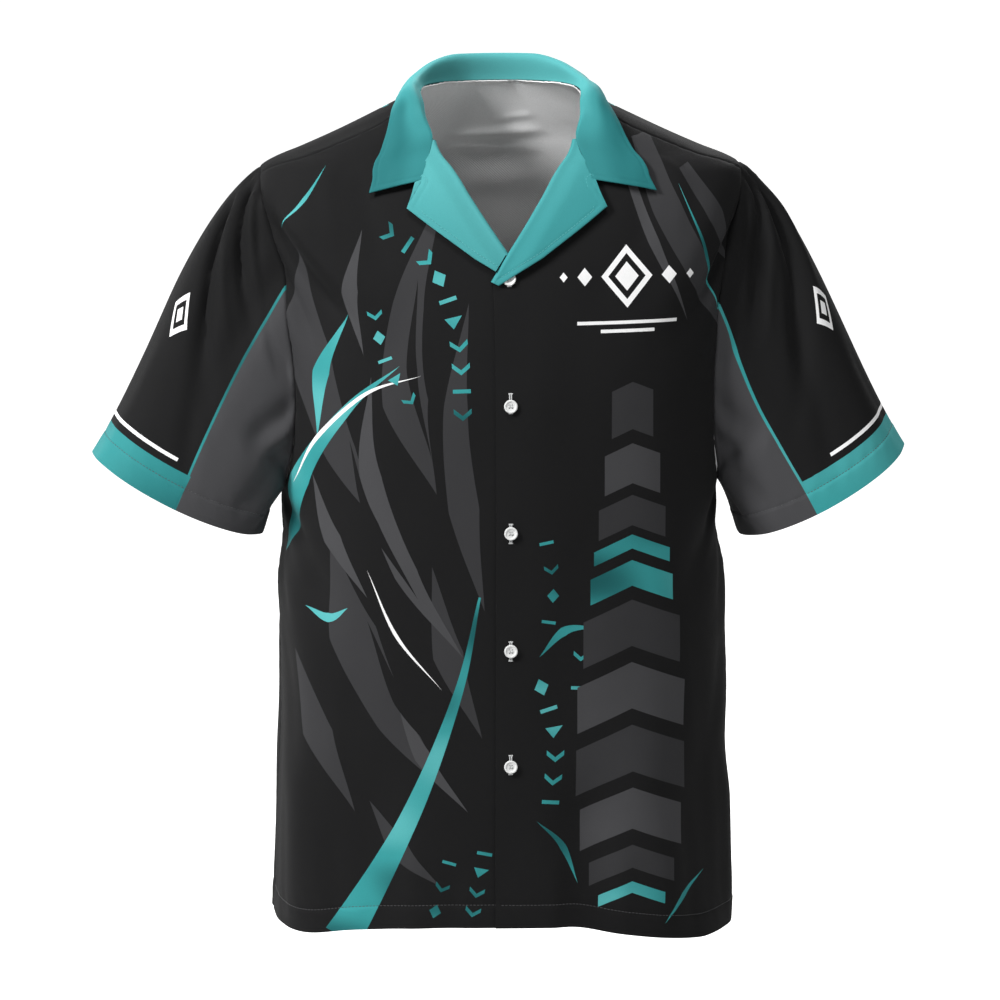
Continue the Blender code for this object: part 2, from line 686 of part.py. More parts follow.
def lapel_grid(tucked):
    """Flat places in columns along the break, each from under the front out to the edge."""
    low, top, along, out = roll_line()
    notch, point = np.array(front_place(*NOTCH)), np.array(front_place(*LAPEL_POINT))
    dip = np.array(front_place(*LAPEL_LOW))
    tip = low + out * LAPEL_TIP
    first, edge_start = low + along * LAPEL_START, tip + along * LAPEL_START
    if tucked:
        first, edge_start = tuck_line_cut(low, top), tuck_line_cut(tip, dip)
    gorge = unit(notch - top)
    below = np.array([gorge[1], -gorge[0]])
    if below @ along > 0:
        below = -below
    last, notch = top - along * BREAK_TOP_GAP, notch + below * GORGE_GAP
    edge = divided([edge_start, dip, point], LAPEL_LONG_COLUMNS)
    edge += divided([point, notch], LAPEL_SHORT_COLUMNS)[1:]
    columns = []
    for column, edge_place in enumerate(edge):
        share = column / (len(edge) - 1)
        roll_place = first + (last - first) * share
        # Where the upper lapel lies on the other front its fold stops short of going under.
        open_below = 1.0 if tucked else float(smooth_step(*FOLD_OPENS, share))
        bend_width = math.pi * ROLL_RADIUS * (LEAST_FOLD + (1 - LEAST_FOLD) * open_below)
        taper = min(1.0, (1 - share) * UNDER_TAPER)
        strip = LEAST_UNDER + (ROLL_UNDER - LEAST_UNDER) * open_below * taper
        rows = [roll_place - out * (strip + bend_width)]
        for bend in range(LAPEL_BEND_ROWS, 0, -1):
            rows.append(roll_place - out * bend_width * bend / LAPEL_BEND_ROWS)
        for row in range(LAPEL_ROWS + 1):
            rows.append(roll_place + (edge_place - roll_place) * row / LAPEL_ROWS)
        columns.append(rows)
    # The gorge is bowed on the flat cloth, and the columns near it take a share of that bow.
    for row in range(1, LAPEL_ROWS + 1):
        straight = last + (notch - last) * row / LAPEL_ROWS
        bow = gorge_place(row / LAPEL_ROWS) + below * GORGE_GAP - straight
        for column, rows in enumerate(columns):
            rows[LAPEL_BEND_ROWS + 1 + row] += bow * (column / (len(columns) - 1)) ** BOW_POWER
    return np.array(columns)


def build_lapel(name, tucked, material):
    grid = lapel_grid(tucked)
    columns, rows = grid.shape[:2]
    places = grid.reshape(-1, 2)
    base = no_lift if tucked else overlap_lift
    mid = lapel_surface(places, base)
    step = 0.2
    across = lapel_surface(places + (step, 0), base) - lapel_surface(places - (step, 0), base)
    down = lapel_surface(places + (0, step), base) - lapel_surface(places - (0, step), base)
    normal = unit(np.cross(down, across))
    outer, inner = mid + normal * CLOTH / 2, mid - normal * CLOTH / 2
    triangles = []
    for c in range(columns - 1):
        for r in range(rows - 1):
            a, b = c * rows + r, (c + 1) * rows + r
            triangles += [(a, b, b + 1), (a, b + 1, a + 1)]
    if tucked:
        outer, inner, triangles = mirrored(outer), mirrored(inner), turned(triangles)
    wall(name, outer, inner, triangles, material)


# --- collar ----------------------------------------------------------------------------


def bezier(p0, p1, p2, p3, t):
    return (1 - t) ** 3 * p0 + 3 * t * (1 - t) ** 2 * p1 + 3 * t * t * (1 - t) * p2 + t**3 * p3


def collar_section(station, side):
    """Points from the neck seam up the stand, over the roll and down to the free edge."""
    table = np.array(COLLAR_STATIONS)
    at = np.linspace(0.0, 1.0, len(table))
    seam_a, seam_z, stand, lean, edge_a, edge_z, lift = (
        float(smooth_through(at, table[:, column], station)) for column in range(7)
    )
    flat = float(smooth_step(ON_LAPEL_START, ROLL_TOP_STATION, station))
    edge_a += side * COLLAR_SHIFT * max(0.0, (station - SHIFT_START) / (1 - SHIFT_START))
    seam_place = np.array([float(girth_at(seam_a)), float(run_at(seam_z))])
    if station >= ROLL_TOP_STATION:
        share = (station - ROLL_TOP_STATION) / (1 - ROLL_TOP_STATION)
        seam_place = gorge_place(share) - roll_line()[3] * COLLAR_TUCK_IN * (1 - share)
    edge_place = np.array([float(girth_at(edge_a)), float(run_at(edge_z))])
    under = float(overlap_lift(seam_place[0], seam_place[1])) if side > 0 else 0.0
    on_lapel = float(lapel_height(seam_place[None, :])[0]) + under
    seam = body(*seam_place, flat * on_lapel)
    edge = body(*edge_place, lift)
    up = np.array([0.0, 0.0, 1.0])
    seam = seam + up * COLLAR_SEAM_RISE * (1 - flat)
    outward = edge - seam
    outward[2] *= flat
    outward = outward / np.linalg.norm(outward)
    crest = seam + up * stand + outward * lean
    surface_out = normals_of(body, np.array([edge_place[0]]), np.array([edge_place[1]]))[0]
    fall = np.linalg.norm(edge - crest)
    roll = ROLL_SHARE * (1 - flat) * fall
    reach = roll * ROLL_FULLNESS + fall * FLAT_REACH * flat
    over = crest + outward * reach + surface_out * FLAT_RISE * flat
    into = edge - (edge - crest) * EDGE_REACH + surface_out * (EDGE_RISE - FLAT_RISE * flat)
    t = np.linspace(0.0, 1.0, SECTION_POINTS)[:, None]
    rise = bezier(seam, seam + (crest - seam) * STAND_BEND, crest - outward * roll, crest, t)
    drop = bezier(crest, over, into, edge, t)
    line = np.concatenate([rise[:-1], drop])
    lengths = np.concatenate([[0.0], np.cumsum(np.linalg.norm(np.diff(line, axis=0), axis=1))])
    stand_share = max(lengths[len(rise) - 1] / lengths[-1], LEAST_STAND_SHARE)
    shares = np.concatenate(
        [
            np.linspace(0.0, stand_share, STAND_ROWS + 1)[:-1],
            np.linspace(stand_share, 1.0, FALL_ROWS + 1),
        ]
    )
    return np.stack([np.interp(shares * lengths[-1], lengths, line[:, k]) for k in range(3)], axis=1)


def build_collar(material):
    # Along the lapel the collar has the lapel's own rows, so that the two edges run side by side.
    stations = np.concatenate(
        [
            np.linspace(0.0, ROLL_TOP_STATION, COLLAR_COLUMNS + 1)[:-1],
            np.linspace(ROLL_TOP_STATION, 1.0 - COLLAR_END_GAP, LAPEL_ROWS + 1),
        ]
    )
    left = np.array([collar_section(station, 1.0) for station in stations])
    right = np.array([mirrored(collar_section(station, -1.0)) for station in stations])
    grid = np.concatenate([right[:0:-1], left])
    across = np.gradient(grid, axis=0)
    along = np.gradient(grid, axis=1)
    normal = unit(np.cross(along, across))
    outer, inner = grid + normal * CLOTH / 2, grid - normal * CLOTH / 2
    columns, rows = grid.shape[:2]
    triangles = []
    for c in range(columns - 1):
        for r in range(rows - 1):
            a, b = c * rows + r, (c + 1) * rows + r
            triangles += [(a, b, b + 1), (a, b + 1, a + 1)]
    wall("collar", outer.reshape(-1, 3), inner.reshape(-1, 3), triangles, material)


# --- sleeves ---------------------------------------------------------------------------


def sleeve_point(turn, along, cuff_ends):
    """A point of a sleeve on the wearer's left: turn 0 top, 90 front, 180 underarm, 270 back."""
    turn = turn % 360.0
    back = turn > 180.0
    girth, run = armhole_loop(360.0 - turn if back else turn, back)
    start = body(girth, run)
    outward = normals_of(body, np.array([girth]), np.array([run]))[0]
    top_share = (1 + math.cos(math.radians(turn))) / 2
    cap, hang = np.array(CAP_DIRECTION), np.array(SLEEVE_DIRECTION)
    straight_out = outward * SIDE_LEAVE * (1 - top_share)
    leave = unit(hang * (1 - top_share**2) + cap * top_share**2 + straight_out)
    start = start + leave * SLEEVE_START
    cuff = cuff_point(turn, cuff_ends)
    reach = np.linalg.norm(cuff - start)
    centre = (np.array(cuff_ends[0]) + np.array(cuff_ends[1])) / 2
    arrive = unit(hang + unit(cuff - centre) * CUFF_FLARE)
    pull = UNDER_PULL + (CAP_FULLNESS - UNDER_PULL) * top_share**2
    t = along
    return (
        (1 + 2 * t) * (1 - t) ** 2 * start
        + t * (1 - t) ** 2 * reach * leave * pull
        + t * t * (3 - 2 * t) * cuff
        + t * t * (t - 1) * reach * arrive
    )


def cuff_point(turn, cuff_ends):
    outer, inner = np.array(cuff_ends[0]), np.array(cuff_ends[1])
    centre, reach = (outer + inner) / 2, (outer - inner) / 2
    t = math.radians(turn)
    c, s = math.cos(t), math.sin(t)
    y = -CUFF_HALF_DEPTH * s * (1 + CUFF_SQUARENESS * c * c) + CUFF_FORWARD
    drop = CUFF_FRONT_DROP * max(s, 0.0) ** 2
    return centre + reach * c * (1 + CUFF_SQUARENESS * s * s) + np.array([0.0, y, -drop])


def sleeve_fold(turn, along):
    """How far the soft folds push the sleeve's cloth out, measured on its flat cloth."""
    coming, going = SLEEVE_FOLD_ENDS
    total = 0.0
    for turn_1, along_1, turn_2, along_2, width, height in SLEEVE_FOLDS:
        from_turn = ((turn - turn_1 + 180.0) % 360.0 - 180.0) * MM_PER_TURN
        from_along = (along - along_1) * SLEEVE_LENGTH
        long_turn = (turn_2 - turn_1) * MM_PER_TURN
        long_along = (along_2 - along_1) * SLEEVE_LENGTH
        length = math.hypot(long_turn, long_along)
        t = (from_turn * long_turn + from_along * long_along) / length**2
        off = (from_turn * long_along - from_along * long_turn) / length
        ends = float(smooth_step(*coming, t) * (1 - smooth_step(*going, t)))
        total += height * math.exp(-((off / width) ** 2)) * ends
    return total


def build_sleeve(name, right, material):
    turns = np.arange(SLEEVE_SIDES) * 360.0 / SLEEVE_SIDES
    places = np.linspace(0.0, 1.0, SLEEVE_RINGS)
    ends = CUFFS[name]
    grid = np.array([[sleeve_point(turn, along, ends) for turn in turns] for along in places])
    push = np.array([[sleeve_fold(turn, along) for turn in turns] for along in places])

    def normals(points):
        around = np.roll(points, -1, axis=1) - np.roll(points, 1, axis=1)
        down = np.gradient(points, axis=0)
        return unit(np.cross(around, down))

    grid = grid + normals(grid) * push[..., None]
    out = normals(grid)
    centre = grid.mean(axis=1, keepdims=True)
    if ((grid - centre) * out).sum() < 0:
        out = -out
    outer, inner = grid + out * CLOTH / 2, grid - out * CLOTH / 2
    triangles = []
    for ring in range(SLEEVE_RINGS - 1):
        for side in range(SLEEVE_SIDES):
            a, b = ring * SLEEVE_SIDES + side, ring * SLEEVE_SIDES + (side + 1) % SLEEVE_SIDES
            c, d = a + SLEEVE_SIDES, b + SLEEVE_SIDES
            triangles += [(a, c, d), (a, d, b)]
    outer, inner = outer.reshape(-1, 3), inner.reshape(-1, 3)
    if right:
        outer, inner = mirrored(outer), mirrored(inner)
    wall(name, outer, inner, triangles, material)


# --- buttons ---------------------------------------------------------------------------


def build_button(number, z, material):
    """A dished disc with four sewing holes, on the top front."""
    profile = (
        (0.0, BUTTON_HEIGHT - BUTTON_DISH),
        (BUTTON_RADIUS - BUTTON_RIM - BUTTON_SLOPE, BUTTON_HEIGHT - BUTTON_DISH),
        (BUTTON_RADIUS - BUTTON_RIM, BUTTON_HEIGHT),
        (BUTTON_RADIUS - BUTTON_ROUND[0], BUTTON_HEIGHT),
        (BUTTON_RADIUS, BUTTON_HEIGHT - BUTTON_ROUND[1]),
        (BUTTON_RADIUS, BUTTON_FOOT),
        (BUTTON_RADIUS - BUTTON_FOOT, 0.0),
        (0.0, 0.0),
    )
    points, faces = [np.array([0.0, 0.0, profile[0][1]])], []
    rings = []
    for radius, height in profile[1:-1]:
        rings.append(range(len(points), len(points) + BUTTON_SIDES))
        for side in range(BUTTON_SIDES):
            angle = 2 * math.pi * side / BUTTON_SIDES
            points.append(np.array([radius * math.cos(angle), radius * math.sin(angle), height]))
    points.append(np.zeros(3))
    for side in range(BUTTON_SIDES):
        after = (side + 1) % BUTTON_SIDES
        faces.append((0, rings[0][side], rings[0][after]))
        for upper, lower in zip(rings, rings[1:]):
            faces.append((upper[side], lower[side], lower[after], upper[after]))
        faces.append((len(points) - 1, rings[-1][after], rings[-1][side]))
    name = f"button_{number}"
    button = add_object(name, points, faces, material)
    for corner in range(4):
        angle = math.pi / 4 + corner * math.pi / 2
        bpy.ops.mesh.primitive_cylinder_add(
            vertices=BUTTON_HOLE_SIDES,
            radius=BUTTON_HOLE_RADIUS * METRE,
            depth=4 * BUTTON_HEIGHT * METRE,
            location=(
                BUTTON_HOLE_OFFSET * math.cos(angle) * METRE,
                BUTTON_HOLE_OFFSET * math.sin(angle) * METRE,
                0.0,
            ),
        )
        cutter = bpy.context.active_object
        cutter.name = f"hole_{number}_{corner}"
        cutter.hide_render = True
        cutter.display_type = "WIRE"
        hole = button.modifiers.new(f"hole_{corner}", "BOOLEAN")
        hole.operation = "DIFFERENCE"
        hole.object = cutter
        cutter.parent = button
    place = front_place(0.0, z)
    lift = CLOTH + OVERLAP_GAP + CLOTH / 2 + BUTTON_GAP
    seat = body(*place, lift)
    out = normals_of(body, np.array([place[0]]), np.array([place[1]]))[0]
    button.rotation_mode = "QUATERNION"
    button.rotation_quaternion = Vector((0.0, 0.0, 1.0)).rotation_difference(Vector(out))
    button.location = Vector(seat * METRE)


def build_shirt():
    for thing in list(bpy.data.objects):
        bpy.data.objects.remove(thing)
    black = cloth_material("black_cloth", BLACK_CLOTH, 0.78)
    teal = cloth_material("teal_cloth", TEAL_CLOTH, 0.68)
    resin = cloth_material("white_resin", WHITE_RESIN, 0.28)
    build_back(black)
    build_fronts(black)
    build_sleeve("sleeve_left", False, black)
    build_sleeve("sleeve_right", True, black)
    build_collar(teal)
    build_lapel("lapel_left", False, teal)
    build_lapel("lapel_right", True, teal)
    for number, z in enumerate(BUTTON_ZS, start=1):
        build_button(number, z, resin)


build_shirt()
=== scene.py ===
"""A short-sleeved bowling shirt with a camp collar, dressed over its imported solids.

Sizes in the tables are millimetres. A place on the body's cloth is (girth, run): girth goes
round from the centre front (0) over the wearer's left side (QUARTER) to the centre back, and
run goes along the shoulder from the neck and then down the side. A place on a sleeve is
(turn, along): turn 0 is the top, 90 the front, 180 the underarm; along goes 0 to 1 to the cuff.
"""

import math

import bpy
import numpy as np
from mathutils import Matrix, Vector
from mathutils.geometry import delaunay_2d_cdt


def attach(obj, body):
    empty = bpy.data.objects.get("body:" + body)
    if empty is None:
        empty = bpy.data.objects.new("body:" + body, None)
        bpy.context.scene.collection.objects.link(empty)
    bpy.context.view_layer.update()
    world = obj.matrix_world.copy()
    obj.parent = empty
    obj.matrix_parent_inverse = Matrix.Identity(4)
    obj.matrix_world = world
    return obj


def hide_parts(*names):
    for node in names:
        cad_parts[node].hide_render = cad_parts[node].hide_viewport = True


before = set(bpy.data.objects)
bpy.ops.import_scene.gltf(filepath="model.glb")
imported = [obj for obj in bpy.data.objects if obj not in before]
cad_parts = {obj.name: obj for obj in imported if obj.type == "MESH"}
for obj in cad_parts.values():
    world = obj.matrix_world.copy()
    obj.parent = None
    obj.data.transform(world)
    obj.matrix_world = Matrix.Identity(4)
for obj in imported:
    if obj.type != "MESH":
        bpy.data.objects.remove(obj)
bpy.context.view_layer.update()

METRE = 0.001
UP = np.array([0.0, 0.0, 1.0])

# Camera and light
CAMERA_DISTANCE = 5.0
CAMERA_TURN = -4.5  # degrees round from straight in front
CAMERA_RISE = 10.0  # degrees over the shirt
CAMERA_TARGET = (0.0, 0.0, -0.355)
VIEW_WIDTH = 0.86
FLOOR_Z = -1.25
SENSOR = 36.0

# Cloth
OUTER = 0.55  # from the mid surface to the printed side
INNER = 0.45  # from the mid surface to the reverse side
SEAM_GAP = -0.20  # panels reach a little over their seams, so no light shows through
CLOTH = 1.2
OVERLAP_GAP = 0.9
BUTTON_GAP = 0.3
GRID = 4.2  # between the points of a body panel

# Body
QUARTER = 250.0
EVENNESS = 0.12
HEM_Z = -705.5
SHOULDER_POINT_Z = -65.0
UNDERARM_Z = -336.0
ARMHOLE_HALF_WIDTH = 56.0
ARMHOLE_SQUARENESS = 2.7
ARMHOLE_POINTS = 90
SEAM_SEARCH = (2.0, 60.0, 200)  # turns between which the shoulder seam ends, and how many are tried

# z, half width, front depth, back depth, squareness
BODY_RINGS = (
    (2, 63, 17, 61, 0.08), (-4.5, 75, 24, 65, 0.08), (-19, 103, 35, 72, 0.08),
    (-34, 135, 44, 78, 0.09), (-50, 172, 53, 84, 0.10), (-61, 198, 59, 87, 0.11),
    (-68, 207, 63, 89, 0.12), (-84, 211, 71, 93, 0.13), (-108, 211, 81, 99, 0.14),
    (-142, 205, 92, 104, 0.14), (-174, 198, 100, 108, 0.14), (-212, 193, 107, 111, 0.14),
    (-260, 190, 112, 113, 0.14), (-334, 187.5, 114, 112, 0.14), (-400, 188.5, 114, 109, 0.14),
    (-500, 191, 113, 107, 0.14), (-600, 195, 113, 108, 0.14), (-730, 199, 114, 110, 0.14),
)

# Main folds: girth 1, z 1, girth 2, z 2, half width, height (a trough is negative)
BODY_FOLDS = (
    (236, -352, 150, -420, 22, -5), (252, -400, 250, -560, 42, 4), (196, -104, 150, -200, 18, -4),
    (168, -84, 118, -190, 20, 3), (172, -500, 186, -740, 30, -5), (228, -580, 236, -740, 28, 4),
    (112, -540, 126, -740, 30, 5), (58, -580, 64, -740, 26, -4), (-238, -352, -150, -428, 22, -5),
    (-230, -392, -160, -500, 26, 4), (-198, -102, -144, -208, 19, -4.5),
    (-168, -88, -112, -190, 20, 3), (-190, -540, -176, -740, 30, 5),
    (-240, -500, -232, -740, 24, -4), (-112, -560, -104, -740, 30, -4),
    (264, -352, 352, -432, 23, -4.5), (292, -392, 346, -500, 26, 4),
    (-264, -352, -346, -442, 23, -4), (-288, -384, -340, -510, 26, 4),
    (322, -500, 312, -740, 30, 4.5), (392, -560, 402, -740, 30, -4.5),
    (-318, -520, -306, -740, 30, 4.5), (-382, -580, -396, -740, 30, -4.5),
    (452, -44, 548, -48, 12, -2.6), (462, -72, 530, -70, 12, 2.2),
)

# Creases that the solids are too coarse for, in the same columns
BODY_CREASES = (
    (206, -100, 170, -172, 8.5, -4.8), (196, -94, 150, -176, 9, 2.2),
    (214, -150, 172, -226, 8, -1.9), (206, -168, 176, -238, 7, 1.5),
    (243, -340, 196, -372, 9, -2.4), (240, -352, 186, -402, 8, 1.8),
    (246, -366, 214, -438, 8, -1.6), (248, -396, 226, -466, 10, 1.5),
    (222, -468, 196, -560, 13, -1.6), (146, -452, 166, -566, 14, 1.3),
    (206, -566, 212, -722, 12, -1.8), (148, -604, 156, -736, 12, -1.7),
    (88, -628, 92, -736, 12, 1.6), (36, -640, 34, -736, 10, 1.3), (64, -150, 92, -214, 13, -1.1),
    (108, -62, 96, -132, 10, -1.3), (136, -56, 128, -118, 9, 1.2),
    (-197, -104, -130, -184, 9.5, -6), (-184, -92, -120, -162, 8.5, 2.4),
    (-201, -134, -168, -206, 8, -4.4), (-217, -218, -200, -266, 8, -2),
    (-212, -148, -168, -232, 8, 1.2), (-204, -172, -170, -250, 7, 1.4),
    (-244, -342, -190, -378, 9, -2.5), (-240, -354, -182, -410, 8, 1.9),
    (-246, -368, -206, -446, 8, -1.8), (-248, -404, -222, -482, 10, 1.6),
    (-214, -470, -186, -576, 13, -1.5), (-138, -470, -150, -584, 14, 1.2),
    (-206, -590, -204, -726, 12, -1.7), (-146, -616, -140, -736, 12, -1.5),
    (-78, -634, -74, -736, 12, 1.7), (-44, -646, -46, -736, 11, -1.3),
    (-70, -154, -98, -222, 13, -1.1), (-110, -64, -94, -140, 10, -1.3),
    (-140, -58, -128, -122, 9, 1.2), (256, -340, 304, -380, 9, -2.2),
    (258, -356, 316, -414, 8, 1.7), (256, -378, 292, -450, 9, -1.5),
    (-256, -340, -306, -376, 9, -2.1), (-258, -356, -312, -418, 8, 1.8),
    (-256, -376, -296, -444, 9, -1.6), (284, -560, 280, -730, 13, -1.7),
    (352, -594, 358, -738, 13, 1.6), (436, -620, 432, -738, 12, -1.4),
    (486, -606, 492, -738, 14, 1.3), (-282, -576, -276, -730, 13, -1.6),
    (-346, -600, -352, -738, 12, -1.5), (-430, -610, -438, -738, 13, 1.5),
    (448, -30, 494, -34, 8, -0.7), (500, -57, 556, -60, 9, -0.9), (470, -86, 532, -92, 11, -1),
    (476, -84, 466, -214, 11, 1.7), (534, -70, 522, -230, 13, -1.9), (506, -110, 512, -260, 9, 1.3),
    (346, -150, 400, -210, 14, -1.5), (334, -176, 380, -262, 13, 1.3),
    (-346, -146, -396, -216, 14, -1.4), (-334, -180, -376, -256, 13, 1.2),
    (420, -320, 440, -430, 18, -1.2), (-414, -350, -436, -470, 18, 1.2),
)

# Where along a fold it comes up, and where it dies away
BODY_FOLD_ENDS = ((-0.15, 0.25), (0.7, 1.25))
SLEEVE_FOLD_ENDS = ((-0.15, 0.2), (0.7, 1.2))
# Slight unevenness: height, girth and run for each radian of the wave, phase
WAVES = ((0.34, 23, 71, 0.6), (0.26, 14.5, -48, 2.1), (0.20, 61, 17, 0), (0.15, 9, 33, 1.3))

# The hem's own drop: girth, how far it hangs below HEM_Z
HEM_DROPS = (
    (-500, 5), (-380, 3), (-262, 3), (-225, 8), (-175, 10), (-120, 3), (-50, -1), (45, 0), (85, 8),
    (125, 15), (175, 21), (225, 20), (262, 12), (380, 3), (500, 5),
)

# Front edges
OVERLAP = 13.0
BREAK_Z = -156.0
OVERLAP_START = 17.5  # girth at which the top front starts to come down to the body
OVERLAP_BLEND = 48.0
ROLL_TOP = (60.5, -39.0)
NOTCH = (71.5, -73.0)
LAPEL_POINT = (84.0, -94.0)
LAPEL_LOW = (28.0, -135.0)
FRONT_NECK = ((66.5, -22.0), (67.5, -11.0))
SHOULDER_SEAM = ((70.5, -7.5), (88.0, -19.0), (110.0, -31.0), (140.0, -43.5), (170.0, -55.0))
SEAM_FORWARD = 14.0
BACK_NECK_Z = 1.0
# angle round from the centre front, z
BACK_NECK = ((160, 1), (140, 1), (120, 1), (100, 0.6), (85, -0.6), (70, -3))

# Sewing
SEAM_DIP = 0.9  # depth of the groove along a seam
SEAM_REACH = 2.4
PUCKER = 0.35  # height of the small waves that a seam draws up
PUCKER_REACH = 9.0
PUCKER_WAVES = ((0.46, 0.41, 0.0), (0.11, 0.07, 0.8))  # radians for each mm of run and of girth, phase
HEM_DEPTH = 20.0  # from the hem's edge to its row of stitches
HEM_PAD = 0.4  # the turned-up cloth stands this much prouder
STITCH_GROOVE = 0.45
HEM_STEP = 0.8  # half the width over which the hem's doubled cloth ends
HEM_WAVE = (0.22, 0.44, 0.25, 8.0)  # height, radians for each mm of girth and of rise, reach
STITCH_PITCH = 3.1
STITCH_LENGTH = 2.3
STITCH_RADIUS = 0.26
STITCH_SIDES = 6

# Lapel
ROLL_RADIUS = 2.6
ROLL_UNDER = 3.0
LEAST_UNDER = 0.5
LEAST_FOLD = 0.42
FOLD_OPENS = (0.17, 0.38)
LAPEL_RISE = 2.3
LAPEL_RISE_WIDTH = 14.0
UPPER_SINK = 0.45  # share of the rise that the upper half of the lapel loses
LAPEL_START = 1.5
LAPEL_TIP = 3.5
LAPEL_TUCK = 1.6
LAPEL_LONG_COLUMNS = 56
LAPEL_SHORT_COLUMNS = 12
LAPEL_ROWS = 26
LAPEL_BEND_ROWS = 10
GORGE_GAP = 0.8
BREAK_TOP_GAP = 2.6
BOW_POWER = 4
UNDER_NARROWS = 4  # the turned-under strip narrows over the last 1 / 4 of the break

# Collar, from the centre back to the notch:
# seam angle, seam z, stand, lean, edge angle, edge z, edge lift
COLLAR_STATIONS = (
    (180, 1, 22, 2.5, 180, -13, 4), (155, 1, 22, 2.5, 158, -14.5, 4),
    (130, 1, 17.5, 2.5, 138, -14, 4), (110, 0.6, 11.5, 4, 118, -11.5, 4),
    (90, -0.2, 7, 6.5, 97, -9.5, 4), (70, -3, 6, 7.5, 75, -12.5, 4), (51, -9, 5, 8, 56, -22, 4.5),
    (35.5, -21, 3.6, 6, 42, -37, 5), (22.8, -38.5, 1, 1.5, 33.4, -56, 5),
    (19.3, -57, 0, 0, 30.9, -70.5, 4.5), (17.8, -73, 0, 0, 31.7, -82.5, 4),
)
ROLL_TOP_STATION = 0.8
ON_LAPEL_START = 0.64
COLLAR_TUCK_IN = 0.6
COLLAR_SHIFT = 1.9
SHIFT_START = 0.55
COLLAR_SEAM_RISE = 0.4
COLLAR_END_GAP = 0.004
COLLAR_COLUMNS = 78  # from the centre back to the notch
STAND_ROWS = 12
FALL_ROWS = 30
LEAST_STAND_SHARE = 0.14
EDGE_SEWING = 4.6  # from a collar's or a lapel's edge to its row of stitches
COLLAR_HALF = 0.75  # half the thickness of the doubled cloth

# Sleeve, for the wearer's left: outer and inner end of the cuff's opening
CUFFS = {
    "sleeve_left": ((348, 0, -308), (206.5, 0, -384)),
    "sleeve_right": ((349, 0, -307), (205, 0, -377)),
}
CUFF_HALF_DEPTH = 62.0
CUFF_SQUARENESS = 0.10
CUFF_FRONT_DROP = 8.0
CUFF_FORWARD = -4.0
SLEEVE_START = -1.4  # the sleeve starts this far inside the armhole
SLEEVE_TUCK = 1.3  # and this deep under the panels
TUCK_REACH = 1.7
CAP_DIRECTION = (0.84, 0.0, -0.54)
CAP_FULLNESS = 0.74
SLEEVE_DIRECTION = (0.47, 0.0, -0.883)
SIDE_LEAVE = 0.35
UNDER_PULL = 1.05
CUFF_FLARE = 0.08
MM_PER_TURN = 1.28  # of flat cloth to each degree
SLEEVE_LENGTH = 235.0  # from armhole to cuff down the outer side
# Main folds: turn 1, along 1, turn 2, along 2, half width, height
SLEEVE_FOLDS = (
    (14, 0.10, 78, 0.60, 11, -4.5), (16, 0.04, 78, 0.24, 11, -4), (150, 0.02, 108, 0.44, 12, -4),
    (160, 0.10, 136, 0.92, 13, 3.5), (343, 0.10, 292, 0.62, 12, -4.5),
    (330, 0.04, 284, 0.34, 11, 3), (214, 0.04, 248, 0.60, 12, -4),
)
# Creases that the solids are too coarse for, in the same columns, on either sleeve
CREASES_ON_BOTH = (
    (111, 0.04, 102, 0.44, 6.6, -3.6), (120, 0.06, 113, 0.46, 7, 2.6),
    (98, 0.04, 88, 0.16, 4.5, -2.6), (128, 0.02, 121, 0.30, 6.5, -2.2),
    (134, 0.20, 122, 0.84, 9, -1.8), (168, 0.10, 150, 0.90, 7, -1.5),
    (356, 0.00, 350, 0.14, 2.6, -1.1), (4, 0.00, 6, 0.12, 2.4, 1), (10, 0.00, 14, 0.12, 2.6, -1.2),
    (24, 0.00, 30, 0.09, 2.8, -1.1), (344, 0.02, 330, 0.34, 5, -2.2),
    (322, 0.04, 296, 0.30, 5.5, 2.4), (306, 0.02, 280, 0.22, 5, -2.6), (284, 0.02, 270, 0.14, 5, 2),
    (250, 0.05, 257, 0.46, 6.6, -3.2), (241, 0.06, 246, 0.42, 7, 2.4),
    (228, 0.10, 240, 0.84, 9, -1.8), (196, 0.08, 212, 0.88, 8, 1.6),
)
SLEEVE_CREASES = {
    "sleeve_right": (
        (18, 0.16, 62, 0.46, 5.6, -4), (12, 0.10, 68, 0.35, 5.6, 2.6), (24, 0.06, 70, 0.23, 5, -4),
        (28, 0.03, 76, 0.17, 4.6, 2.2), (34, 0.01, 66, 0.10, 4, -1.9),
        (56, 0.40, 84, 0.86, 9, -2.6), (30, 0.62, 24, 1.06, 10, 1.3),
        (356, 0.52, 350, 1.04, 11, -1.2),
    ),
    "sleeve_left": (
        (20, 0.12, 66, 0.45, 5.8, -4), (22, 0.09, 72, 0.30, 5.4, 2.4),
        (28, 0.07, 78, 0.20, 4.6, -2.4), (34, 0.05, 78, 0.14, 4.4, 2),
        (40, 0.02, 72, 0.10, 3.8, -1.7), (8, 0.16, 40, 0.52, 9, 1.8),
        (60, 0.42, 80, 0.92, 10, -2.4), (22, 0.66, 18, 1.06, 9, -1.2),
        (340, 0.56, 344, 1.04, 11, 1.2),
    ),
}

# Buttons
BUTTON_HOLE_RADIUS = 0.75
BUTTON_HOLE_OFFSET = 1.55
BUTTON_SIDES = 48
BUTTON_ZS = (-151.0, -255.5, -363.0, -464.0, -564.0)
# radius, height of the turned profile, from the middle of the dish to the back
BUTTON_PROFILE = (
    (0, 1.55), (3.3, 1.55), (3.75, 1.68), (4.15, 2.02), (4.5, 2.2), (4.95, 2.2), (5.4, 2.02),
    (5.66, 1.66), (5.7, 1.2), (5.62, 0.7), (5.3, 0.28), (4.8, 0.06), (0, 0),
)
BUTTONHOLE_LENGTH = 15.5
BUTTONHOLE_RAISES = (2.3, 2.3, -0.5, -0.3, 1.5)  # of each one's middle over its button's


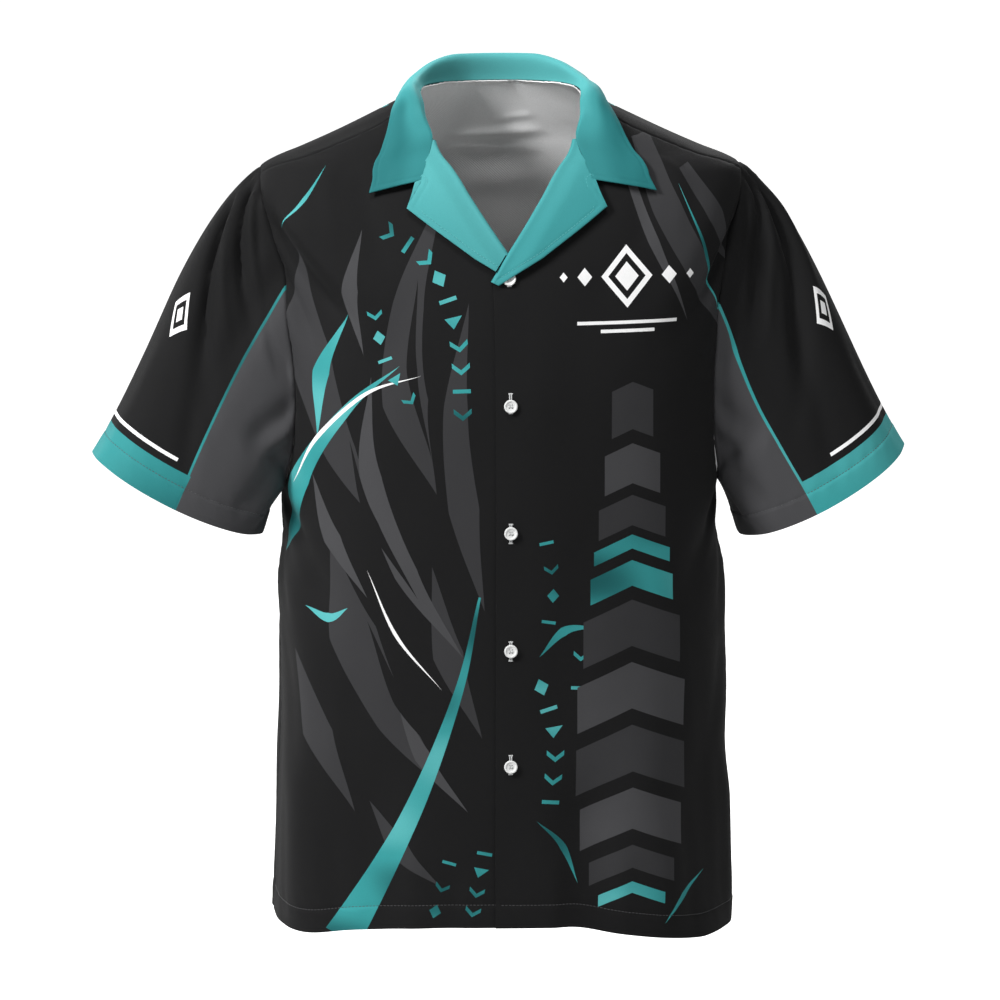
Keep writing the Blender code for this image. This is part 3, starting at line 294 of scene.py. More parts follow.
def cubic(t, start, leave, end, arrive):
    """From start to end, leaving and arriving in the directions that these two vectors give."""
    return (
        (1 + 2 * t) * (1 - t) ** 2 * start
        + t * (1 - t) ** 2 * leave
        + t * t * (3 - 2 * t) * end
        + t * t * (t - 1) * arrive
    )


def smooth_through(xs, ys, at):
    """A smooth curve through the points (xs, ys) that never overshoots them, read at `at`."""
    xs, ys = np.asarray(xs, float), np.asarray(ys, float)
    if xs[0] > xs[-1]:
        xs, ys = xs[::-1], ys[::-1]
    steps = np.diff(xs)
    slopes = np.diff(ys) / steps
    same = slopes[:-1] * slopes[1:] > 0
    w1, w2 = 2 * steps[1:] + steps[:-1], steps[1:] + 2 * steps[:-1]
    safe1, safe2 = np.where(same, slopes[:-1], 1.0), np.where(same, slopes[1:], 1.0)
    middle = np.where(same, (w1 + w2) / (w1 / safe1 + w2 / safe2), 0.0)
    tangents = np.concatenate([slopes[:1], middle, slopes[-1:]])
    at = np.asarray(at, float)
    inside = np.clip(at, xs[0], xs[-1])
    i = np.clip(np.searchsorted(xs, inside) - 1, 0, len(steps) - 1)
    h, t = steps[i], (inside - xs[i]) / steps[i]
    beyond = np.where(at < xs[0], tangents[0], tangents[-1]) * (at - inside)
    return cubic(t, ys[i], h * tangents[i], ys[i + 1], h * tangents[i + 1]) + beyond


def smooth_step(low, high, value):
    t = np.clip((value - low) / (high - low), 0, 1)
    return t * t * (3 - 2 * t)


def unit(vectors):
    return vectors / np.maximum(np.linalg.norm(vectors, axis=-1, keepdims=True), 1e-9)


def mirrored(points):
    return points * (-1.0, 1.0, 1.0)


def fold_heights(folds, across, down, whole, ends):
    """How far folds push the cloth out at these places, where `across` repeats after `whole`.

    A fold is across 1, down 1, across 2, down 2, half width, height; `ends` is where along it
    it starts and stops to come up, and starts and stops to die away.
    """
    total = np.zeros(np.broadcast(across, down).shape)
    for across_1, down_1, across_2, down_2, width, height in folds:
        long_a, long_d = across_2 - across_1, down_2 - down_1
        length = math.hypot(long_a, long_d)
        from_a = (across - across_1 + whole / 2) % whole - whole / 2
        from_d = down - down_1
        along = (from_a * long_a + from_d * long_d) / length**2
        off = (from_a * long_d - from_d * long_a) / length
        shown = smooth_step(*ends[0], along) * (1 - smooth_step(*ends[1], along))
        total = total + height * np.exp(-((off / width) ** 2)) * shown
    return total


# --- the body's surface ---

FINE_COUNT = 3000
RINGS = np.array(BODY_RINGS)
RING_RUNS = np.concatenate(
    [[0.0], np.cumsum(np.hypot(np.diff(RINGS[:, 1]), np.diff(RINGS[:, 0])))]
)
FINE_RUNS = np.linspace(0, RING_RUNS[-1], FINE_COUNT)
FINE_RINGS = np.stack(
    [smooth_through(RING_RUNS, column, FINE_RUNS) for column in RINGS.T], axis=1
)
GIRTH_PASSES = 12
PLACE_PASSES = 20
WIDEST = 0.999  # sine of the widest angle that a place seen from the front may have


def run_at(z):
    """How far along the shoulder and down the side the level z is."""
    return np.interp(-np.asarray(z, float), -FINE_RINGS[:, 0], FINE_RUNS)


def ring_at(run):
    """z, half width, front depth, back depth and squareness of the ring at this run."""
    return tuple(np.interp(run, FINE_RUNS, FINE_RINGS[:, column]) for column in range(5))


def girth_at(angle):
    """The girth of the angle round the ring, in degrees from the centre front."""
    angle = np.radians(angle)
    even = angle
    for _ in range(GIRTH_PASSES):
        even = angle + EVENNESS * np.sin(2 * even)
    return even * QUARTER * 2 / math.pi


def plain_body(girth, run):
    """Points of the body's cloth with no fold in it."""
    even = np.asarray(girth, float) / QUARTER * math.pi / 2
    angle = even - EVENNESS * np.sin(2 * even)
    z, width, front, back, square = ring_at(run)
    sine, cosine = np.sin(angle), np.cos(angle)
    depth = np.where(cosine > 0, front, back)
    x = width * sine * (1 + square * cosine**2)
    y = -depth * cosine * (1 + square * sine**2)
    return np.stack([x, y, z + 0 * x], axis=-1)


def normals_of(surface, girth, run, step=1.0):
    across = surface(girth + step, run) - surface(girth - step, run)
    down = surface(girth, run + step) - surface(girth, run - step)
    return unit(np.cross(down, across))


def ripple_height(table, girth, run):
    """The height of the body's folds in this table at each place."""
    folds = [(g_1, run_at(z_1), g_2, run_at(z_2), *size) for g_1, z_1, g_2, z_2, *size in table]
    return fold_heights(folds, girth, run, 4 * QUARTER, BODY_FOLD_ENDS)


def body(girth, run, lift=0.0):
    """Points of the body's cloth with its main folds, `lift` above its mid surface."""
    girth, run = np.asarray(girth, float), np.asarray(run, float)
    out = ripple_height(BODY_FOLDS, girth, run) + lift
    return plain_body(girth, run) + normals_of(plain_body, girth, run) * out[..., None]


def drape(girth, run):
    """The creases and the slight unevenness that hanging cloth has everywhere."""
    waves = sum(
        height * np.sin(girth / per_girth + run / per_run + phase)
        for height, per_girth, per_run, phase in WAVES
    )
    return ripple_height(BODY_CREASES, girth, run) + waves


def places_at(x, z, back=False):
    """(girth, run) of places seen from the front, or from the back, at these x and z."""
    x, z = np.asarray(x, float), np.asarray(z, float)
    run = run_at(z)
    width, square = ring_at(run)[1], ring_at(run)[4]
    target = np.clip(x / width, -WIDEST, WIDEST)
    sine = target
    for _ in range(PLACE_PASSES):
        sine = target / (1 + square * (1 - sine**2))
    girth = girth_at(np.degrees(np.arcsin(np.clip(sine, -WIDEST, WIDEST))))
    return np.stack([2 * QUARTER - girth if back else girth, run], axis=-1)


def front_place(x, z):
    girth, run = places_at(x, z)
    return float(girth), float(run)


def hem_run(girth):
    drops = np.array(HEM_DROPS)
    girth = (np.asarray(girth, float) + 2 * QUARTER) % (4 * QUARTER) - 2 * QUARTER
    return run_at(HEM_Z - smooth_through(drops[:, 0], drops[:, 1], girth))


# --- flat outlines ---

LEAST_COSINE = 0.4  # at an outline's sharp corners, so that its inset stays near it


def lengths_along(points):
    steps = np.linalg.norm(np.diff(points, axis=0), axis=1)
    return np.concatenate([[0.0], np.cumsum(steps)])


def read_at(at, lengths, points):
    """The points of a line at these lengths along it."""
    return np.stack([np.interp(at, lengths, values) for values in np.transpose(points)], axis=-1)


def divided(points, count):
    """The same open line as `count` equal stretches."""
    points = np.array(points, float)
    lengths = lengths_along(points)
    return read_at(np.linspace(0, lengths[-1], count + 1), lengths, points)


def resampled(points, spacing=GRID):
    """The same open line with points `spacing` or a little less apart."""
    length = lengths_along(np.array(points, float))[-1]
    return divided(points, max(1, math.ceil(length / spacing)))


def armhole_loop(turn, back=False):
    """(girth, run) on the armhole's line: turn 0 is the shoulder point, 180 the underarm."""
    top, bottom = float(run_at(SHOULDER_POINT_Z)), float(run_at(UNDERARM_Z))
    t = np.radians(turn)
    power = 2 / ARMHOLE_SQUARENESS
    across = ARMHOLE_HALF_WIDTH * np.abs(np.sin(t)) ** power
    reach = np.copysign(np.abs(np.cos(t)) ** power, np.cos(t))
    down = (top + bottom) / 2 - (bottom - top) / 2 * reach
    return QUARTER + np.where(back, across, -across), down


def armhole_line(first, last, back=False):
    girth, run = armhole_loop(np.linspace(first, last, ARMHOLE_POINTS), back)
    return np.stack([girth, run], axis=-1)


def seam_meets_armhole():
    """The turn on the armhole's front at which the shoulder seam ends."""
    turns = np.linspace(*SEAM_SEARCH)
    forward = -plain_body(*armhole_loop(turns))[:, 1]
    return float(np.interp(SEAM_FORWARD, forward, turns))


SEAM_TURN = seam_meets_armhole()


def shoulder_seam():
    """From the neck to the armhole."""
    line = [front_place(x, z) for x, z in SHOULDER_SEAM]
    end = armhole_loop(SEAM_TURN)
    return resampled(line + [(float(end[0]), float(end[1]))])


def side_seam(side):
    """From the underarm to the hem. `side` is 1 on the wearer's left and -1 on the right."""
    foot = QUARTER, float(hem_run(side * QUARTER))
    return resampled([(QUARTER, float(run_at(UNDERARM_Z))), foot])


def hem_line(first, last, side):
    count = math.ceil(abs(last - first) / GRID)
    girth = np.linspace(first, last, count + 1)
    return np.stack([girth, hem_run(side * girth)], axis=-1)


def joined(parts):
    """One closed outline of lines that follow one another."""
    return np.concatenate([np.array(part)[:-1] for part in parts])


def front_edge():
    """The overlap's girth at the break and at the hem."""
    return front_place(OVERLAP, BREAK_Z)[0]


def front_lines(side):
    """A front's edges in order, counterclockwise seen from outside, and which are sewn."""
    edge = front_edge()
    foot = (-edge, float(hem_run(-side * edge)))
    turn = front_place(-OVERLAP, BREAK_Z)
    neck = [front_place(*ROLL_TOP)] + [front_place(x, z) for x, z in FRONT_NECK]
    neck.append(front_place(*SHOULDER_SEAM[0]))
    return (
        (hem_line(-edge, QUARTER, side), False),
        (side_seam(side)[::-1], True),
        (resampled(armhole_line(180.0, SEAM_TURN)), True),
        (shoulder_seam()[::-1], True),
        (resampled(neck[::-1]), True),
        (resampled([neck[0], turn]), False),
        (resampled([turn, foot]), False),
    )


def half_back_lines(side):
    """From the neck's centre back over the shoulder and down the side to the hem's middle."""
    neck = [(QUARTER * 2, float(run_at(BACK_NECK_Z)))]
    for angle, z in BACK_NECK:
        neck.append((float(girth_at(angle)), float(run_at(z))))
    neck.append(front_place(*SHOULDER_SEAM[0]))
    return (
        (resampled(neck), True),
        (shoulder_seam(), True),
        (resampled(armhole_line(SEAM_TURN, 0.0)), True),
        (resampled(armhole_line(0.0, 180.0, back=True)), True),
        (side_seam(side), True),
        (hem_line(QUARTER, 2 * QUARTER, side), False),
    )


def signed_area(outline):
    x, y = outline[:, 0], -outline[:, 1]
    return float((x * np.roll(y, -1) - y * np.roll(x, -1)).sum() / 2)


def inset(outline, distance):
    """The outline moved in by `distance` on every side."""
    points = outline[::-1] if signed_area(outline) < 0 else outline
    before, after = np.roll(points, 1, axis=0), np.roll(points, -1, axis=0)
    one, two = unit(points - before), unit(after - points)
    # Run grows downward, so "left of the way round" is (run, -girth) of the direction.
    in_1 = np.stack([one[:, 1], -one[:, 0]], axis=1)
    in_2 = np.stack([two[:, 1], -two[:, 0]], axis=1)
    middle = unit(in_1 + in_2)
    stretch = 1 / np.maximum((middle * in_1).sum(axis=1), LEAST_COSINE)
    return points + middle * (distance * stretch)[:, None]


# --- printed shapes ---

BLACK, CHARCOAL, SLATE, TEAL, WHITE, REVERSE = range(6)
PRINT_SPACING = 3.0
CURVE_STEPS = 14  # points between two places of a curve


def curve_through(points):
    """A smooth open curve through the points."""
    points = np.array(points, float)
    if len(points) == 2:
        return points
    padded = np.concatenate([[2 * points[0] - points[1]], points, [2 * points[-1] - points[-2]]])
    t = np.linspace(0, 1, CURVE_STEPS, endpoint=False)[:, None]
    pieces = [
        cubic(t, p1, (p2 - p0) / 2, p2, (p3 - p1) / 2)
        for p0, p1, p2, p3 in zip(padded, padded[1:], padded[2:], padded[3:])
    ]
    return np.concatenate(pieces + [points[-1:]])


def sides_of(line):
    """The unit direction to the left of an open line at each of its points."""
    along = unit(np.gradient(line, axis=0))
    return np.stack([-along[:, 1], along[:, 0]], axis=1)


def blade(spine, widths):
    """A closed tapered shape along a curved spine, with these widths spread evenly along it."""
    line = resampled(curve_through(spine), PRINT_SPACING)
    share = np.linspace(0, 1, len(line))
    width = np.interp(share, np.linspace(0, 1, len(widths)), widths)
    side = sides_of(line) * width[:, None] / 2
    left, right = line + side, line - side
    if widths[0] == 0:
        right = right[1:]
    if widths[-1] == 0:
        right = right[:-1]
    return np.concatenate([left, right[::-1]])


def shape(points):
    """A closed straight-sided shape with points close enough to bend with the cloth."""
    return joined([resampled([a, b], PRINT_SPACING) for a, b in zip(points, points[1:] + points[:1])])


def placed(outline, centre, turn, size):
    """An outline drawn about the origin, turned by `turn` degrees, scaled and moved."""
    c, s = math.cos(math.radians(turn)), math.sin(math.radians(turn))
    return [
        (centre[0] + size * (c * x - s * y), centre[1] + size * (s * x + c * y)) for x, y in outline
    ]


# Small motifs about the origin, one unit wide
CHEVRON = ((-0.5, -0.30), (0.0, 0.10), (0.5, -0.30), (0.5, -0.02), (0.0, 0.38), (-0.5, -0.02))
DIAMOND = ((0.0, -0.5), (0.42, 0.0), (0.0, 0.5), (-0.42, 0.0))
BAR = ((-0.5, -0.11), (0.5, -0.11), (0.5, 0.11), (-0.5, 0.11))
WEDGE = ((-0.5, -0.30), (0.5, -0.30), (0.12, 0.34))
MOTIFS = (CHEVRON, BAR, CHEVRON, DIAMOND, BAR, WEDGE, CHEVRON)


def motif_strip(spine, count, size, first=0):
    """Small motifs in a row along a curve, each turned to follow it."""
    line = divided(curve_through(spine), count)
    heading = np.gradient(line, axis=0)
    strip = []
    for number, (centre, way) in enumerate(zip(line, heading)):
        turn = math.degrees(math.atan2(way[1], way[0])) - 90.0
        motif = MOTIFS[(number + first) % len(MOTIFS)]
        strip.append(shape(placed(motif, centre, turn, size)))
    return strip


# Blades on the fronts as x, z seen from the front: ink, spine, widths along it
FRONT_BLADES = (
    (CHARCOAL, ((-178, -128), (-168, -210), (-140, -300), (-96, -372)), (0, 34, 26, 0)),
    (CHARCOAL, ((-60, -96), (-84, -170), (-88, -250), (-62, -330)), (6, 26, 38, 0)),
    (CHARCOAL, ((-150, -372), (-132, -450), (-96, -528), (-48, -590)), (0, 40, 30, 0)),
    (CHARCOAL, ((-34, -170), (-46, -262), (-38, -352), (-22, -430)), (0, 20, 26, 0)),
    (CHARCOAL, ((-176, -470), (-160, -540), (-132, -606)), (0, 24, 0)),
    (CHARCOAL, ((-66, -392), (-52, -470), (-24, -540)), (0, 26, 0)),
    (CHARCOAL, ((-120, -596), (-92, -640), (-60, -668)), (0, 18, 0)),
    (SLATE, ((-116, -232), (-118, -310), (-88, -398), (-40, -470)), (0, 18, 20, 0)),
    (SLATE, ((-122, -110), (-132, -160), (-122, -214)), (0, 13, 0)),
    (SLATE, ((-164, -318), (-150, -368), (-120, -420)), (0, 15, 0)),
    (SLATE, ((-98, -498), (-74, -556), (-36, -604)), (0, 14, 0)),
    (BLACK, ((-134, -286), (-118, -350), (-78, -420)), (0, 9, 0)),
    (BLACK, ((-120, -440), (-92, -510), (-50, -566)), (0, 11, 0)),
    (BLACK, ((-76, -150), (-82, -226), (-66, -300)), (0, 9, 0)),
    (TEAL, ((-186, -392), (-172, -318), (-134, -258), (-92, -222)), (0, 15, 9, 0)),
    (TEAL, ((-160, -286), (-156, -226), (-134, -180)), (0, 13, 0)),
    (TEAL, ((-150, -60), (-172, -92), (-192, -112)), (0, 3.2, 0)),
    (TEAL, ((-26, -418), (-44, -500), (-84, -606), (-142, -716)), (2, 9, 17, 30)),
    (TEAL, ((-170, -432), (-152, -440), (-136, -430)), (0, 8, 0)),
    (WHITE, ((-180, -330), (-160, -286), (-120, -246), (-74, -230)), (0, 3.4, 3, 0)),
    (WHITE, ((-120, -396), (-96, -452), (-58, -498)), (0, 3, 0)),
    (CHARCOAL, ((116, -36), (136, -96), (166, -156), (188, -206)), (16, 24, 22, 0)),
    (CHARCOAL, ((152, -62), (178, -104), (196, -150)), (10, 15, 0)),
    (SLATE, ((100, -54), (122, -118), (154, -190)), (7, 9, 0)),
    (TEAL, ((146, -76), (168, -132), (186, -196)), (0, 3, 0)),
    (TEAL, ((24, -470), (46, -448), (74, -446)), (0, 8, 0)),
    (TEAL, ((22, -612), (44, -634), (58, -668)), (0, 6, 0)),
    (TEAL, ((174, -668), (152, -684), (132, -708)), (0, 5, 0)),
)

# Rows of small motifs: spine, how many, size in mm, which motif is first
FRONT_STRIPS = (
    (((-100, -112), (-64, -140), (-44, -196), (-40, -262)), 9, 15, 0),
    (((-112, -180), (-104, -218), (-84, -250)), 4, 12, 2),
    (((30, -372), (36, -410), (32, -440)), 3, 12, 1),
    (((26, -496), (38, -540), (34, -596)), 5, 15, 3), (((60, -470), (58, -498)), 1, 13, 0),
    (((-22, -640), (-32, -690)), 3, 13, 4), (((-52, -648), (-64, -690)), 2, 12, 1),
)

# The tall column of nested arrowheads on the wearer's left front: z of the tip, half width,
# depth of the arrowhead, ink
COLUMN_X = 104.0
COLUMN_RISE = 0.42  # how steeply each side of an arrowhead falls
COLUMN = (
    (-238, 18, 40, CHARCOAL), (-290, 24, 34, SLATE), (-334, 29, 26, CHARCOAL), (-368, 33, 12, TEAL),
    (-390, 36, 22, TEAL), (-424, 42, 40, CHARCOAL), (-478, 47, 40, SLATE), (-532, 48, 40, CHARCOAL),
    (-586, 44, 36, SLATE), (-636, 36, 20, CHARCOAL), (-668, 28, 10, TEAL),
)

# Small diamonds on the chest: x, z, size, ink
CHEST_DIAMONDS = (
    (100, -150, 52, WHITE), (100, -150, 38, BLACK), (100, -150, 24, WHITE), (64, -150, 15, WHITE),
    (136, -150, 15, WHITE), (46, -150, 8, WHITE), (154, -150, 8, WHITE),
)
# Thin bars under them: x, z, width
CHEST_BARS = (
    (100, -188, 86), (100, -195, 46),
)
CHEST_BAR_HALF = 1.4

# Blades on the back as x, z seen from behind, drawn on both sides of the centre
BACK_BLADES = (
    (CHARCOAL, ((176, -96), (164, -180), (150, -270), (126, -356)), (0, 30, 30, 0)),
    (CHARCOAL, ((132, -70), (120, -136), (118, -214), (96, -290)), (4, 18, 24, 0)),
    (CHARCOAL, ((186, -300), (168, -372), (132, -448), (104, -540)), (0, 30, 26, 0)),
    (CHARCOAL, ((120, -500), (108, -580), (104, -650)), (0, 16, 0)),
    (SLATE, ((152, -112), (142, -176), (136, -240)), (0, 11, 0)),
    (SLATE, ((168, -250), (152, -320), (122, -384)), (0, 13, 0)),
    (BLACK, ((166, -150), (158, -214), (142, -290)), (0, 8, 0)),
    (BLACK, ((172, -348), (148, -410), (120, -470)), (0, 9, 0)),
    (TEAL, ((97, -14), (100, -38), (108, -64)), (2.6, 2.8, 0)),
    (TEAL, ((132, -414), (148, -520), (165, -610), (180, -724)), (0, 7, 12, 22)),
    (TEAL, ((112, -330), (104, -372), (112, -420)), (0, 4, 0)),
)
BACK_BAND_HALF = 15.0
BACK_BAND_TOP = -424.0
BACK_BAND_STEP = 22.0
BACK_BAND_ROWS = 13
# The large nested diamond in the middle of the back: size, ink
BACK_DIAMONDS = (
    (168, TEAL), (140, BLACK), (124, CHARCOAL), (92, TEAL), (70, BLACK), (50, SLATE),
)
BACK_DIAMOND_Z = -250.0
BACK_DIAMOND_SPREAD = 1.25

# Sleeves: (along, turn) of the line between the outer and the under part
LINE_TURNS = {
    "sleeve_right": ((0, 80), (0.15, 82.5), (0.45, 84), (0.75, 85), (1, 87)),
    "sleeve_left": ((0, 86), (0.15, 90.5), (0.45, 96), (0.75, 97.5), (1, 97.5)),
}
LINE_POINTS, BAND_POINTS, PIPE_POINTS = 60, 90, 80
PAST_UNDERARM = 182.0  # turn to which the under part is drawn
LINE_HALF = 0.9  # half the width of the teal lines
PRINT_PAST = 0.02  # how far along past the cloth's ends the print is drawn
BAND_DEPTH = 31.0
PIPE_GAP = 6.0
PIPE_DEPTH = 3.0
PIPE_TURN = 76.0
EMBLEM_PLACE = (36.0, 0.50)
# size, ink of the nested diamonds on a sleeve
EMBLEM = ((34.0, WHITE), (23.0, BLACK), (12.0, WHITE))


def block(x, half, low, high):
    """The four corners of an upright rectangle round x."""
    return [(x - half, low), (x + half, low), (x + half, high), (x - half, high)]


def arrowhead(z, half, depth):
    fall = half * COLUMN_RISE
    sides = [(COLUMN_X + half, z - fall), (COLUMN_X + half, z - fall - depth)]
    others = [(2 * COLUMN_X - x, level) for x, level in sides[::-1]]
    return [(COLUMN_X, z)] + sides + [(COLUMN_X, z - depth)] + others


def front_prints():
    """(outline as girth and run, ink) of the fronts' print, in the order of printing."""
    prints = [(blade(spine, widths), ink) for ink, spine, widths in FRONT_BLADES]
    for row in FRONT_STRIPS:
        prints += [(outline, TEAL) for outline in motif_strip(*row)]
    prints += [(shape(arrowhead(*size)), ink) for *size, ink in COLUMN]
    for x, z, size, ink in CHEST_DIAMONDS:
        prints.append((shape(placed(DIAMOND, (x, z), 0, size)), ink))
    for x, z, width in CHEST_BARS:
        bar = block(x, width / 2, z - CHEST_BAR_HALF, z + CHEST_BAR_HALF)
        prints.append((shape(bar), WHITE))
    return [(places_at(*outline.T), ink) for outline, ink in prints]


def back_prints():
    """The same for the back."""
    prints = []
    for ink, spine, widths in BACK_BLADES:
        outline = blade(spine, widths)
        prints += [(outline, ink), (outline * (-1.0, 1.0), ink)]
    for row in range(BACK_BAND_ROWS):
        centre = (0.0, BACK_BAND_TOP - row * BACK_BAND_STEP)
        motif = MOTIFS[(row * 2) % len(MOTIFS)]
        prints.append((shape(placed(motif, centre, 0.0, 2 * BACK_BAND_HALF)), TEAL))
    for size, ink in BACK_DIAMONDS:
        corners = [(x, z * BACK_DIAMOND_SPREAD) for x, z in DIAMOND]
        prints.append((shape(placed(corners, (0.0, BACK_DIAMOND_Z), 0, size)), ink))
    return [(places_at(-outline[:, 0], outline[:, 1], back=True), ink) for outline, ink in prints]


# --- cutting a panel into triangles ---

KEEP_CLEAR = 0.42  # share of the grid within which a line's points take a grid point's place
MERGE = 0.01


def inside(outline, places):
    """Which places lie inside the closed outline."""
    found = np.zeros(len(places), bool)
    x, y = places.T
    low, high = outline.min(axis=0), outline.max(axis=0)
    near = np.flatnonzero((x >= low[0]) & (x <= high[0]) & (y >= low[1]) & (y <= high[1]))
    x, y = x[near], y[near]
    result = np.zeros(len(near), bool)
    for (x1, y1), (x2, y2) in zip(outline, np.roll(outline, -1, axis=0)):
        if y1 != y2:
            crosses = (y1 > y) != (y2 > y)
            result ^= crosses & (x1 + (y - y1) * (x2 - x1) / (y2 - y1) > x)
    found[near] = result
    return found


def distance_to(lines, places):
    """How far each place is from the nearest of the open lines."""
    nearest = np.full(len(places), 1e6)
    for line in lines:
        for start, end in zip(line[:-1], line[1:]):
            way = end - start
            share = ((places - start) @ way) / max(float(way @ way), 1e-9)
            reach = start + np.clip(share, 0, 1)[:, None] * way
            nearest = np.minimum(nearest, np.hypot(*(places - reach).T))
    return nearest


def staggered_grid(outline, spacing):
    low, high = outline.min(axis=0), outline.max(axis=0)
    rows = np.arange(low[1] + spacing / 2, high[1], spacing * math.sqrt(3) / 2)
    grid = []
    for number, down in enumerate(rows):
        across = np.arange(low[0] + spacing / 2 * (number % 2), high[0], spacing)
        grid.append(np.stack([across, np.full(len(across), down)], axis=1))
    grid = np.concatenate(grid)
    return grid[inside(outline, grid)]


def clear_of(points, grid, distance):
    """The places of the grid that are at least `distance` from every one of the points."""

    def cell(place):
        return int(place[0] // distance), int(place[1] // distance)

    cells = {}
    for point in points:
        cells.setdefault(cell(point), []).append(point)
    kept = []
    for place in grid:
        column, row = cell(place)
        around = [(column + c, row + r) for c in (-1, 0, 1) for r in (-1, 0, 1)]
        near = [point for name in around for point in cells.get(name, ())]
        if all(math.hypot(*(place - point)) >= distance for point in near):
            kept.append(place)
    return np.array(kept)


def cut_panel(outline, lines, prints):
    """(places, triangles, ink of each) of a flat piece. `lines` are open helper lines."""
    if signed_area(outline) < 0:
        outline = outline[::-1]
    points, edges = [outline], []
    count = len(outline)
    for line, closed in [(line, False) for line in lines] + [(drawn, True) for drawn, _ in prints]:
        last = len(line) if closed else len(line) - 1
        edges += [(count + i, count + (i + 1) % len(line)) for i in range(last)]
        points.append(np.asarray(line))
        count += len(line)
    points = np.concatenate(points)
    grid = clear_of(points, staggered_grid(outline, GRID), GRID * KEEP_CLEAR)
    flat = [Vector((girth, -run)) for girth, run in np.concatenate([points, grid])]
    found = delaunay_2d_cdt(flat, edges, [list(range(len(outline)))], 0, MERGE)
    places = np.array([(v.x, -v.y) for v in found[0]])
    triangles = np.array([tuple(face) for face in found[2] if len(face) == 3])
    middles = places[triangles].mean(axis=1)
    kept = inside(outline, middles)
    triangles, middles = triangles[kept], middles[kept]
    inks = np.full(len(triangles), BLACK)
    for drawn, ink in prints:
        inks[inside(drawn, middles)] = ink
    used, triangles = np.unique(triangles, return_inverse=True)
    return places[used], triangles.reshape(-1, 3), inks


# --- meshes ---

NECK_RUN = 24.0  # how far down the shoulder the neckline reaches
# The reverse's painted shade fades in between these runs.
REVERSE_PAINTED_SHADE = (95.0, 300.0)  # runs between which the reverse goes from pale to dark
SLOW_TONE = (0.32, 31.0, 47.0)  # share of the tone, run and girth for each radian of the wave
FAST_TONE = (0.18, 13.0, -29.0)


def facing_of(points, triangles):
    """For each triangle a vector out of its face, twice as long as its area."""
    corners = points[triangles]
    return np.cross(corners[:, 1] - corners[:, 0], corners[:, 2] - corners[:, 0])


def point_normals(points, triangles):
    total = np.zeros_like(points)
    for corner in range(3):
        np.add.at(total, triangles[:, corner], facing_of(points, triangles))
    return unit(total)


def open_edges(triangles):
    """The edges that only one triangle uses, each in that triangle's direction."""
    sides = np.concatenate([triangles[:, [0, 1]], triangles[:, [1, 2]], triangles[:, [2, 0]]])
    known = {(int(a), int(b)) for a, b in sides}
    return [(a, b) for a, b in known if (b, a) not in known]


def link(name, data):
    """A new object of the scene that holds this data."""
    thing = bpy.data.objects.new(name, data)
    bpy.context.collection.objects.link(thing)
    return thing


def smooth(mesh, below):
    """Smooth shading, with sharp edges where faces meet at more than this many degrees."""
    mesh.shade_smooth()
    mesh.set_sharp_from_angle(angle=math.radians(below))
    mesh.update()


def new_object(name, points, faces, materials, inks=None, smooth_below=40.0):
    mesh = bpy.data.meshes.new(name)
    mesh.from_pydata((np.asarray(points) * METRE).tolist(), [], faces)
    for material in materials:
        mesh.materials.append(material)
    if inks is not None:
        mesh.polygons.foreach_set("material_index", np.asarray(inks, np.int32))
    smooth(mesh, smooth_below)
    return link(name, mesh)


def store(piece, name, values):
    """Keeps one value for each point of the piece under this name, for its materials to read."""
    layer = piece.data.attributes.new(name, "FLOAT", "POINT")
    layer.data.foreach_set("value", np.asarray(values, np.float32))


def lay_flat(piece, flat):
    """Gives the piece its flat places, in metres, for the weave to follow."""
    layer = piece.data.uv_layers.new(name="cloth")
    loops = np.empty(len(piece.data.loops), np.int32)
    piece.data.loops.foreach_get("vertex_index", loops)
    layer.data.foreach_set("uv", (flat[loops] * METRE).astype(np.float32).ravel())


def wave_of(run, girth, share, per_run, per_girth):
    """A slow change of tone along and across the cloth."""
    return share * np.sin(run / per_run + girth / per_girth)


def cloth_piece(
    name, mid, flat, triangles, inks, materials,
    outer=OUTER, inner=INNER, reverse=REVERSE, tone=None,
):
    """A closed thin wall: the printed side, the reverse side and the cut edge between them."""
    normals = point_normals(mid, triangles)
    count = len(mid)
    outer, inner = np.broadcast_to(outer, count), np.broadcast_to(inner, count)
    points = np.concatenate([mid + normals * outer[:, None], mid - normals * inner[:, None]])
    rims = [(a, count + a, count + b, b) for a, b in open_edges(triangles)]
    faces = triangles.tolist() + (triangles[:, ::-1] + count).tolist() + rims
    # The cut edge is black at the hems and light round the neck.
    girth, run = flat[:, 0], flat[:, 1]
    rim_starts = run[[rim[0] for rim in rims]]
    rim_inks = np.where((reverse == REVERSE) & (rim_starts > NECK_RUN), BLACK, reverse)
    all_inks = np.concatenate([inks, np.full(len(triangles), reverse), rim_inks])
    piece = new_object(name, points, faces, materials, all_inks)
    lay_flat(piece, np.concatenate([flat, flat]))
    if tone is None:
        tone = 0.5 + wave_of(run, girth, *SLOW_TONE) + wave_of(run, girth, *FAST_TONE)
    # The unprinted reverse gets painted shade: palest at the neck and darker lower down inside the
    # shirt.
    under_tone_and_shade = 1.0 - smooth_step(*REVERSE_PAINTED_SHADE, run) if reverse == REVERSE else tone
    store(piece, "tone", np.concatenate([tone, under_tone_and_shade]))
    return piece, normals


def grid_triangles(columns, rows):
    c, r = np.meshgrid(np.arange(columns - 1), np.arange(rows - 1), indexing="ij")
    a = (c * rows + r).ravel()
    b = a + rows
    return np.concatenate([np.stack([a, b, b + 1], axis=1), np.stack([a, b + 1, a + 1], axis=1)])


# --- stitches ---

STITCHES = []  # middles, directions and outward directions of all stitches of one thread
# Place along the stitch, share of its radius, rise (its ends dive into the cloth)
STITCH_RINGS = ((-0.5, 0.35, -0.30), (-0.36, 1.0, 0.02), (0.36, 1.0, 0.02), (0.5, 0.35, -0.30))


